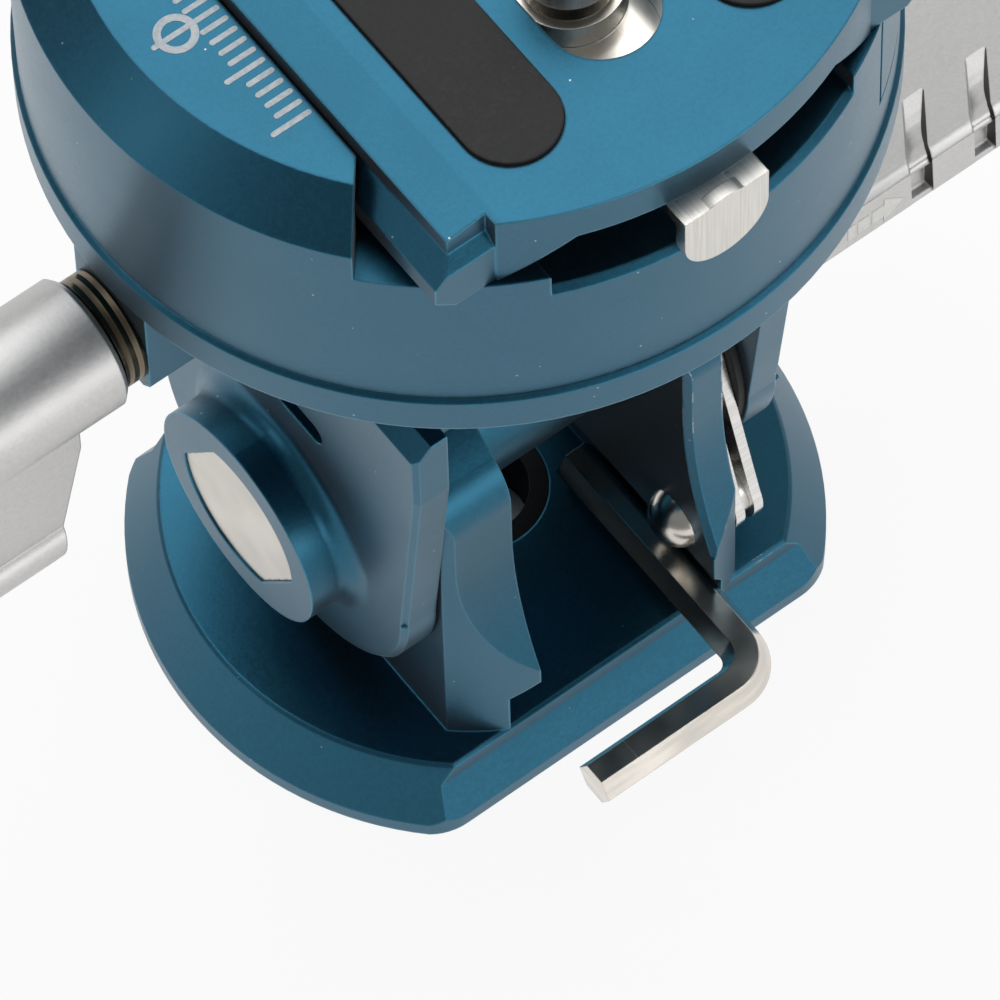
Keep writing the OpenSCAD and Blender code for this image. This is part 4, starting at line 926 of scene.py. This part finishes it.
@dataclass
class Assembly:
    """A sub-assembly.

    Attributes:
        nodes: the finish by the CAD node's name.
    """

    nodes: dict[str, Palette] = field(default_factory=dict)

    def build(self, materials: Materials) -> None:
        """Give each CAD node its finish.

        Args:
            materials: made materials by finish.
        """
        for name, finish in self.nodes.items():
            mesh = bpy.data.objects[name].data
            mesh.materials.clear()
            mesh.materials.append(materials[finish])
            LOG.info("%s: %s", name, finish.name.lower())


@dataclass
class Base(Assembly):
    """Foot, uprights, bushes and brake plates."""

    nodes: dict[str, Palette] = field(default_factory=lambda: {
        # the thread bush's near-black finish is painted shade
        "base_yoke": Palette.CHIPPED_BLUE, "thread_bush": Palette.BLACKED, "tilt_bush_left": Palette.BRONZE,
        "tilt_bush_right": Palette.BRONZE, "pivot_sleeve": Palette.BLUE, "anchor_screw": Palette.NICKEL,
        "brake_plate_inner": Palette.GROUND, "brake_plate_outer": Palette.GROUND,
        "brake_spacer": Palette.STEEL, "hex_key": Palette.NICKEL,
    })


@dataclass
class TiltStage(Assembly):
    """Platform, shaft, brake discs, the spindle's bearings and both locks.

    Attributes:
        pull_mm: how far a lever is pulled.
    """

    nodes: dict[str, Palette] = field(default_factory=lambda: {
        "tilt_platform": Palette.BLUE, "pivot_shaft": Palette.STAKED, "rotor_disc": Palette.GROUND,
        "friction_disc": Palette.RUBBER, "thrust_washer": Palette.POLYMER, "spring_washer": Palette.STEEL,
        "pan_bushes": Palette.BRONZE, "pan_race": Palette.POLYMER, "brake_shoe": Palette.BRONZE,
        "tilt_lock_nut": Palette.STEEL, "tilt_lever_screw": Palette.STEEL, "pan_lock_stud": Palette.OILED,
        "pan_lever_screw": Palette.STEEL, "pan_lever": Palette.LEVER,
    })
    pull_mm: float = 4.0

    def build(self, materials: Materials) -> None:
        """Dress the nodes and wind the levers' springs.

        Args:
            materials: made materials by finish.
        """
        super().build(materials)
        self._spring("tilt_lever_spring", "tilt_lock", "tilt_lever_pull", False, materials)
        self._spring("pan_lever_spring", "pan_lock", "pan_lever_pull", True, materials)

    def _spring(self, node: str, body: str, joint: str, left: bool, materials: Materials) -> None:
        """Wind a smooth spring where a node's spring is.

        Args:
            node: the node that it stands for.
            body: the body that it rides on.
            joint: the lever's slide; not used.
            left: whether its fixed end is the left one; not used.
            materials: made materials by finish.
        """
        piece = wind(node)
        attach(piece, body)
        dress_piece(piece, Palette.STEEL, materials, node)
        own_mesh(piece)


@dataclass
class TiltLever:
    """The tilt lever's skin in its own axes: X along its pivot, its wing towards -Y, its broad face up.

    Attributes:
        turn: the wing's angle over the horizontal.
        length: length along the pivot.
        barrel: the barrel's profile, by length and radius, closed.
        root: where the wing's back starts in the barrel's wall.
        seat: how far the wing's root lies inside the barrel's wall.
        face: height of the broad face at the ridge; it rises from there to the barrel's tangent.
        back: depth of the back.
        face_end: where the broad face ends and the ridge starts.
        ridge: radius of the ridge.
        ridge_turn: angle that the ridge turns through before its crease, in degrees.
        band: width of the flat band beyond the crease.
        band_way: direction of the band, from the crease down.
        under: where the underside meets the back.
        under_facing: the way that the underside faces.
        steps: points along the broad face, ridge, band, underside, back and barrel wall.
        columns: lines along the pivot.
        gap: least gap between lines that would fall together.
        inner: start of the wing along the pivot, at its root and at its end.
        inner_l: length along the pivot over which the swept start fades.
        corner: radius of the outer corner.
        corner_x: where the outer corner's sweep starts along the pivot.
        grooves: start and end of each grip groove along the pivot.
        groove_run: length of the grooves on the broad face.
        groove_wall: half the width of a groove's wall along the pivot.
        lean: shift of the grooves along the pivot, by run from their start.
        lean_x: where the lean starts, is whole, and starts to fall along the pivot.
        depth: depth of the grooves, by run.
        tuck: how far the floor's left and right sides are shifted for each millimetre of depth.
        arrow: outlines of the arrow's blocks, by length and distance from the crease.
        ink_h: how far the arrow stands proud.
    """

    turn: float = -43.0
    length: float = 27.0
    barrel: Sequence[Pair] = (
        (0.0, 6.6), (0.0, 7.0), (0.4, 7.4), (26.6, 7.4), (27.0, 7.0), (27.0, 6.02), (8.0, 6.02), (8.0, 3.25),
        (6.05, 3.25), (6.05, 6.6), (0.0, 6.6),
    )
    root: float = 6.8
    seat: float = 0.4
    face: float = 2.8
    back: float = -2.4
    face_end: float = 20.34
    ridge: float = 1.34
    ridge_turn: float = 65.0
    band: float = 4.2
    band_way: Pair = (0.682, -0.731)
    under: float = 15.2
    under_facing: Pair = (-0.36, -0.93)
    steps: Sequence[int] = (64, 12, 16, 10, 10, 14)
    columns: int = 110
    gap: float = 0.05
    inner: Pair = (0.6, 3.1)
    inner_l: float = 10.0
    corner: float = 4.6
    corner_x: float = 24.0
    grooves: Sequence[Pair] = ((14.85, 16.72), (20.47, 22.31))
    groove_run: float = 6.1
    groove_wall: float = 0.02
    lean: Sequence[Pair] = ((0.0, 0.0), (6.1, -3.89), (7.6, -4.60), (11.8, -4.38))
    lean_x: Sequence[float] = (2.0, 14.0, 23.0)
    depth: Sequence[Pair] = (
        (0.0, 0.0), (1.5, 0.42), (2.6, 0.68), (3.4, 0.72), (4.2, 0.64), (5.2, 0.45), (6.1, 0.35), (7.6, 0.5),
        (9.4, 0.85), (11.8, 1.0), (12.4, 0.0),
    )
    tuck: Pair = (-0.25, -0.85)
    arrow: Sequence[Sequence[Pair]] = (
        ((4.72, 1.6), (5.36, 1.6), (5.36, 3.28), (4.72, 3.28)),
        ((5.6, 1.6), (6.6, 1.6), (6.6, 3.2), (5.6, 3.2)),
        ((6.85, 1.56), (7.9, 1.56), (7.9, 0.8), (9.65, 2.4), (7.9, 3.85), (7.9, 3.2), (6.85, 3.2)),
    )
    ink_h: float = 0.02

    def build(self, materials: Materials) -> None:
        """Lay the lever's skin, dark strips of painted shade over the grooves' walls, and the block arrow.

        Args:
            materials: made materials by finish.
        """
        low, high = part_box("tilt_lock_nut")
        place = (np.array(low) + np.array(high)) / 2 / MM
        place[0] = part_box("tilt_lever")[0].x / MM
        spin = np.array(Matrix.Rotation(math.radians(self.turn), 3, "X"))
        wing, walls = self._wing()
        pieces = (
            ("tilt_lever_skin", [self._barrel(), wing], Palette.LEVER, ["tilt_lever"]),
            # painted shade: dark strips laid over the grooves' walls
            ("tilt_lever_groove_shade", walls, Palette.SHADED, []),
            ("tilt_lever_arrow", self._arrow(), Palette.LASER, []),
        )
        for name, grids, finish, nodes in pieces:
            piece = grid_piece(name, [grid @ spin.T + place for grid in grids])
            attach(piece, "tilt_handle")
            dress_piece(piece, finish, materials, *nodes)

    def _barrel(self, count: int = 96) -> np.ndarray:
        """The barrel: its closed profile carried round the X axis.

        Args:
            count: points round it.

        Returns:
            A grid whose rows are circles.
        """
        turn = np.linspace(0, 2 * np.pi, count, endpoint=False)
        x, r = np.transpose(self.barrel)[:, :, None]
        return np.stack([np.broadcast_to(x, (len(x), count)), r * np.cos(turn), r * np.sin(turn)], axis=-1)

    def _crease(self) -> np.ndarray:
        """The crease between the ridge and the band.

        Returns:
            Its place by (y, z).
        """
        turn = math.radians(self.ridge_turn)
        drop = self.ridge * (1 - math.cos(turn))
        return np.array([-self.face_end - self.ridge * math.sin(turn), self.face - drop])

    def _section(self) -> tuple[np.ndarray, np.ndarray]:
        """The wing's section: broad face from the barrel's tangent, ridge, band, underside, back and wall.

        Returns:
            Its points by (y, z), and the outward direction at each.
        """
        n_face, n_ridge, n_band, n_under, n_back, n_wall = self.steps
        barrel = max(r for _, r in self.barrel)
        away = math.hypot(self.face_end, self.face)
        rise = math.asin(barrel / away) - math.asin(self.face / away)
        up = np.array([-math.sin(rise), math.cos(rise)])
        broad = np.linspace(barrel * up, (-self.face_end, self.face), n_face)
        bend = np.radians(np.linspace(0, self.ridge_turn, n_ridge))
        arc = np.column_stack([-np.sin(bend), np.cos(bend)])
        ridge = np.array([-self.face_end, self.face - self.ridge]) + self.ridge * arc
        way = np.array(self.band_way)
        reach = self._crease() + np.linspace(self.gap, self.band, n_band)[:, None] * way
        heel = np.linspace(reach[-1], (-self.under, self.back), n_under)
        back = np.linspace((-self.under, self.back), (-self.root, self.back), n_back)
        start = math.atan2(self.back, -self.root) + 2 * math.pi
        wall = np.linspace(start, math.atan2(up[1], up[0]), n_wall)
        seat = (barrel - self.seat) * np.column_stack([np.cos(wall), np.sin(wall)])
        runs = (
            (broad[:-1], up), (ridge, arc), (reach, (way[1], -way[0])), (heel[1:], self.under_facing),
            (back[1:], (0.0, -1.0)), (seat, (1.0, 0.0)),
        )
        facing = [np.broadcast_to(face, run.shape) for run, face in runs]
        return np.concatenate([run for run, _ in runs]), np.concatenate(facing)

    def _wing(self) -> tuple[np.ndarray, list[np.ndarray]]:
        """The wing: its section carried along X, sunk along the grooves, on lines that lean as they do.

        Each point lies at x + lean(run) * share(x) along the pivot, and depth(run) under the section where
        x is in a groove, where it is also shifted by the tuck. The share falls to nothing at both ends,
        which follow the wing's start, swept from a third of its reach on, and its round corner.

        Returns:
            A grid whose rows go round the section, with closed ends, and a dark strip of painted shade for
            each groove's wall.
        """
        section, facing = self._section()
        run = np.r_[0.0, np.cumsum(np.linalg.norm(np.diff(section, axis=0), axis=1))]
        run = run - run[np.argmax(section[:, 0] <= -self.face_end)] + self.groove_run
        lean = np.interp(run, *np.transpose([*self.lean, (run[-1], 0.0)]))
        depth = np.interp(run, *np.transpose(self.depth), left=0.0, right=0.0)
        flat = np.interp(run, (self.lean[1][0], self.lean[2][0]), (1.0, 0.0)) * depth
        half = self.groove_wall
        walls = [edge + side for pair in self.grooves for edge in pair for side in (-half, half)]
        x = np.unique(np.concatenate([np.linspace(self.inner[0], self.length, self.columns), walls]))
        inside, tuck = np.zeros_like(x), np.zeros_like(x)
        for a, b in self.grooves:
            within = (x > a) & (x < b)
            inside[within] = 1.0
            tuck[within] = np.interp(x[within], (a, b), self.tuck)
        share = np.interp(x, (*self.lean_x, self.length), (0.0, 1.0, 1.0, 0.0))
        out = -section[:, 0]
        tip = -self._crease()[0]
        swept = np.interp(out, (tip / 3, tip), (0.0, self.inner[1] - self.inner[0]))
        past = np.clip(out - tip + self.corner, 0.0, self.corner)
        round_off = np.sqrt(self.corner**2 - past**2) - self.corner
        near = np.clip(1 - (x - self.inner[0]) / self.inner_l, 0.0, 1.0)
        far = np.clip((x - self.corner_x) / (self.length - self.corner_x), 0.0, 1.0)
        along = x[:, None] + np.outer(share, lean) + np.outer(near, swept) + np.outer(far, round_off)
        along = along + np.outer(tuck, flat)
        sunk = section - np.outer(inside, depth)[:, :, None] * facing
        body = np.concatenate([along[:, :, None], sunk], axis=2)
        grooved = body[:, (run > self.gap) & (run < self.lean[-1][0])]
        shade_strips = []
        for _, b in self.grooves:
            top, floor = (grooved[np.argmin(np.abs(x - b - side))] for side in (half, -half))
            shade_strips.append(self._shade_strip(top, floor))
        return closed(body), shade_strips

    def _shade_strip(self, top: np.ndarray, floor: np.ndarray) -> np.ndarray:
        """A thin dark strip of painted shade over a groove's wall: a flat quad from its top to its floor,
        carried along it.

        Args:
            top: points along the wall's top.
            floor: points along its foot.

        Returns:
            A grid whose rows go round the strip, with closed ends.
        """
        lift = np.array([self.groove_wall, 0.0, 0.0])
        return closed(np.stack([top - lift, floor - lift, floor + lift, top + lift], axis=1))

    def _arrow(self) -> list[np.ndarray]:
        """Two tail blocks and a block arrow on the band.

        Returns:
            A grid for each block.
        """
        crease, way = self._crease(), np.array(self.band_way)
        out = np.array([way[1], -way[0]])
        grids = []
        for block in self.arrow:
            outline = np.array(block)
            grid = slab(outline, outline.mean(axis=0), self.ink_h)
            flat = crease + grid[..., 1:2] * way + grid[..., 2:3] * out
            grids.append(np.concatenate([grid[..., :1], flat], axis=-1))
        return grids


@dataclass
class PanStage(Assembly):
    """Table, spindle, jaws, knob and the ruler on the fixed jaw.

    Attributes:
        springs: springs that open the jaw.
        ruler_x: where the ruler's marks end towards the plate.
        ruler_half: millimetres on each side of zero.
        long_step: millimetres from one long mark to the next.
        mark_w: width of a mark.
        short_l: length of a mark.
        long_l: length of a long mark.
        zero_l: length of the mark at zero.
        zero_r: radius of the ring on it.
        zero_x: middle of the ring.
        zero_w: width of the ring's line, in marks.
        ink_h: how far the marks stand proud.
        zero_h: how far the ring stands proud, in marks.
    """

    nodes: dict[str, Palette] = field(default_factory=lambda: {
        "pan_table": Palette.BLUE, "pan_spindle": Palette.STEEL, "spindle_screws": Palette.STEEL,
        "pan_retainer": Palette.STEEL, "retainer_screw": Palette.STEEL, "guide_pins": Palette.STEEL,
        "clamp_jaw": Palette.BLUE, "clamp_knob": Palette.LEVER, "clamp_screw": Palette.STEEL,
        "knob_washer": Palette.NICKEL,
    })
    springs: int = 2
    ruler_x: float = -18.95
    ruler_half: int = 10
    long_step: int = 5
    mark_w: float = 0.42
    short_l: float = 2.0
    long_l: float = 3.0
    zero_l: float = 5.2
    zero_r: float = 1.25
    zero_x: float = -22.4
    zero_w: float = 1.3
    ink_h: float = 0.02
    zero_h: float = 1.1

    def build(self, materials: Materials) -> None:
        """Dress the nodes, wind the jaw's springs and mark the ruler.

        Args:
            materials: made materials by finish.
        """
        super().build(materials)
        self._springs(materials)
        self._ruler(materials)

    def _springs(self, materials: Materials) -> None:
        """Wind the opening springs as one piece.

        Args:
            materials: made materials by finish.
        """
        piece = wind("jaw_springs", self.springs)
        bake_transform(piece)
        dress_piece(piece, Palette.STEEL, materials, "jaw_springs")

    def _ruler(self, materials: Materials) -> None:
        """Lay a line for each millimetre on the fixed jaw's top, some longer, and a ring at zero.

        Args:
            materials: made materials by finish.
        """
        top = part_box("pan_table")[1].z / MM
        grids = []
        for step in range(-self.ruler_half, self.ruler_half + 1):
            length = self.long_l if step % self.long_step == 0 else self.short_l
            if step == 0:
                length = self.zero_l
            ends = (self.ruler_x - length, step), (self.ruler_x - self.mark_w / 2, step)
            grids.append(slab(capsule(*ends, self.mark_w), np.mean(ends, axis=0), self.ink_h))
        ring = band(self.zero_r, self.zero_w * self.mark_w, (self.zero_x, 0.0), self.ink_h * self.zero_h)
        for name, marks in (("ruler_marks", grids), ("ruler_zero", [ring])):
            piece = grid_piece(name, [grid + (0, 0, top) for grid in marks])
            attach(piece, "pan")
            dress_piece(piece, Palette.RULER, materials)


@dataclass
class CameraPlate(Assembly):
    """Sliding plate with its pads, stop tab, collar and camera screw."""

    nodes: dict[str, Palette] = field(default_factory=lambda: {
        "camera_plate": Palette.BLUE, "pad_left": Palette.RUBBER, "pad_right": Palette.RUBBER,
        "stop_tab": Palette.STEEL, "stop_tab_screw": Palette.NICKEL, "screw_collar": Palette.NICKEL,
        "camera_screw": Palette.STEEL,
    })


# Stage


@dataclass(frozen=True)
class Softbox:
    """A soft area lamp.

    Attributes:
        name: its name.
        place: where it stands.
        aim: what it points at.
        size: its width and height.
        power: its power.
    """

    name: str
    place: Sequence[float]
    aim: Sequence[float]
    size: Sequence[float]
    power: float

    def build(self) -> None:
        """Add the lamp to the scene."""
        lamp = bpy.data.lights.new(self.name, "AREA")
        lamp.shape = "RECTANGLE"
        lamp.size, lamp.size_y = self.size
        lamp.energy = self.power
        made = bpy.data.objects.new(self.name, lamp)
        made.location = self.place
        made.rotation_euler = (Vector(self.aim) - Vector(self.place)).to_track_quat("-Z", "Y").to_euler()
        bpy.context.scene.collection.objects.link(made)


@dataclass(frozen=True)
class Studio:
    """Camera, pale floor, lamps and world.

    Attributes:
        eye_mm: where the camera stands.
        azimuth: the way it looks, clockwise from +Y in degrees.
        elevation: how far it looks down, in degrees.
        roll: its turn about its own line of sight, in degrees.
        lens_mm: focal length.
        sensor_mm: width of the sensor.
        clip: nearest and farthest distance seen.
        floor_half: half the floor's side.
        floor_drop_mm: how far the floor lies under the foot.
        floor_tone: the floor's colour.
        floor_rough: its roughness.
        floor_white: share of plain white where the floor is seen.
        dark: radii under the foot between which that share rises from nothing.
        world_tone: colour of the light from all round.
        lamps: the soft lamps.
    """

    eye_mm: Sequence[float] = (-224.963, -316.438, 695.724)
    azimuth: float = 35.6808
    elevation: float = 60.7053
    roll: float = -1.7879
    lens_mm: float = 395.788
    sensor_mm: float = 36.0
    clip: Pair = (0.05, 20.0)
    floor_half: float = 2.0
    floor_drop_mm: float = 0.05
    floor_tone: Colour = (0.86, 0.86, 0.86)
    floor_rough: float = 0.9
    floor_white: float = 0.92
    dark: Pair = (0.0087, 0.0145)
    world_tone: Colour = (0.24, 0.25, 0.26)
    lamps: Sequence[Softbox] = (
        Softbox("top_softbox", (0.30, 0.42, 0.95), (0, 0, 0.05), (1.1, 1.1), 8.0),
        Softbox("front_softbox", (0.30, -1.05, 0.22), (0, 0, 0.03), (1.0, 0.4), 3.2),
        Softbox("left_softbox", (-0.95, 0.35, 0.75), (0, 0, 0.05), (0.4, 0.6), 1.0),
        Softbox("back_softbox", (0.38, 1.15, 0.20), (0.03, 0, 0.04), (1.0, 0.3), 0.75),
    )

    def build(self) -> None:
        """Add the camera, the floor, the lamps and the world."""
        self._camera()
        self._floor()
        self._world()
        for lamp in self.lamps:
            lamp.build()
        bpy.context.scene.view_settings.view_transform = "Standard"

    def _camera(self) -> None:
        """Place the camera by its azimuth, elevation and roll."""
        a, e, r = (math.radians(x) for x in (self.azimuth, self.elevation, self.roll))
        ahead = Vector((math.sin(a) * math.cos(e), math.cos(a) * math.cos(e), -math.sin(e)))
        level = Vector((math.cos(a), -math.sin(a), 0))
        right = level * math.cos(r) + level.cross(ahead) * math.sin(r)
        up = right.cross(ahead)
        lens = bpy.data.cameras.new("camera")
        lens.lens, lens.sensor_width = self.lens_mm, self.sensor_mm
        lens.clip_start, lens.clip_end = self.clip
        camera = bpy.data.objects.new("camera", lens)
        axes = Matrix((right, up, -ahead)).transposed().to_4x4()
        camera.matrix_world = Matrix.Translation(Vector(self.eye_mm) * MM) @ axes
        bpy.context.scene.collection.objects.link(camera)
        bpy.context.scene.camera = camera

    def _floor(self) -> None:
        """Lay the floor just under the foot: mostly plain white where it is seen, with the shadow over it."""
        half = self.floor_half / MM
        side = np.linspace(-half, half, 3)
        x, y = np.meshgrid(side, side)
        points = np.stack([x, y, np.full_like(x, -self.floor_drop_mm)], -1)
        floor = grid_piece("floor", [points], wrap=False)
        material, graph = new_material("pale_floor")
        surface = graph.find("BSDF_PRINCIPLED")
        set_inputs(graph, surface, {"Base Color": self.floor_tone, "Roughness": self.floor_rough})
        path = graph.node("ShaderNodeLightPath")
        seen = graph.math("ADD", path.outputs["Is Camera Ray"], path.outputs["Is Glossy Ray"])
        seen = graph.math("ADD", seen, path.outputs["Is Transmission Ray"], clamp=True)
        white = graph.node("ShaderNodeEmission", {"Color": (1.0, 1.0, 1.0), "Strength": 1.0})
        away = graph.node("ShaderNodeVectorMath", {0: graph.object_point()}, operation="LENGTH")
        clear = graph.span(away.outputs["Value"], *self.dark)
        share = graph.scaled(graph.math("MULTIPLY", seen, clear), self.floor_white)
        both = graph.node("ShaderNodeMixShader", {0: share, 1: surface.outputs[0], 2: white.outputs[0]})
        graph.join(graph.find("OUTPUT_MATERIAL").inputs["Surface"], both.outputs[0])
        floor.data.materials.append(material)

    def _world(self) -> None:
        """Set a plain grey world."""
        world = bpy.data.worlds.new("studio")
        world.use_nodes = True
        graph = Graph(world.node_tree)
        graph.join(graph.find("BACKGROUND").inputs["Color"], self.world_tone)
        bpy.context.scene.world = world


def main() -> None:
    """Load the frame, build the stage and dress every sub-assembly."""
    logging.basicConfig(level=logging.INFO, format="%(message)s")
    for old in list(bpy.data.objects):
        bpy.data.objects.remove(old)
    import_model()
    Studio().build()
    effects = Effects()
    materials = {finish: finish.value.make(effects) for finish in Palette}
    for part in (Base(), TiltStage(), TiltLever(), PanStage(), CameraPlate()):
        part.build(materials)


if __name__ == "__main__":
    main()
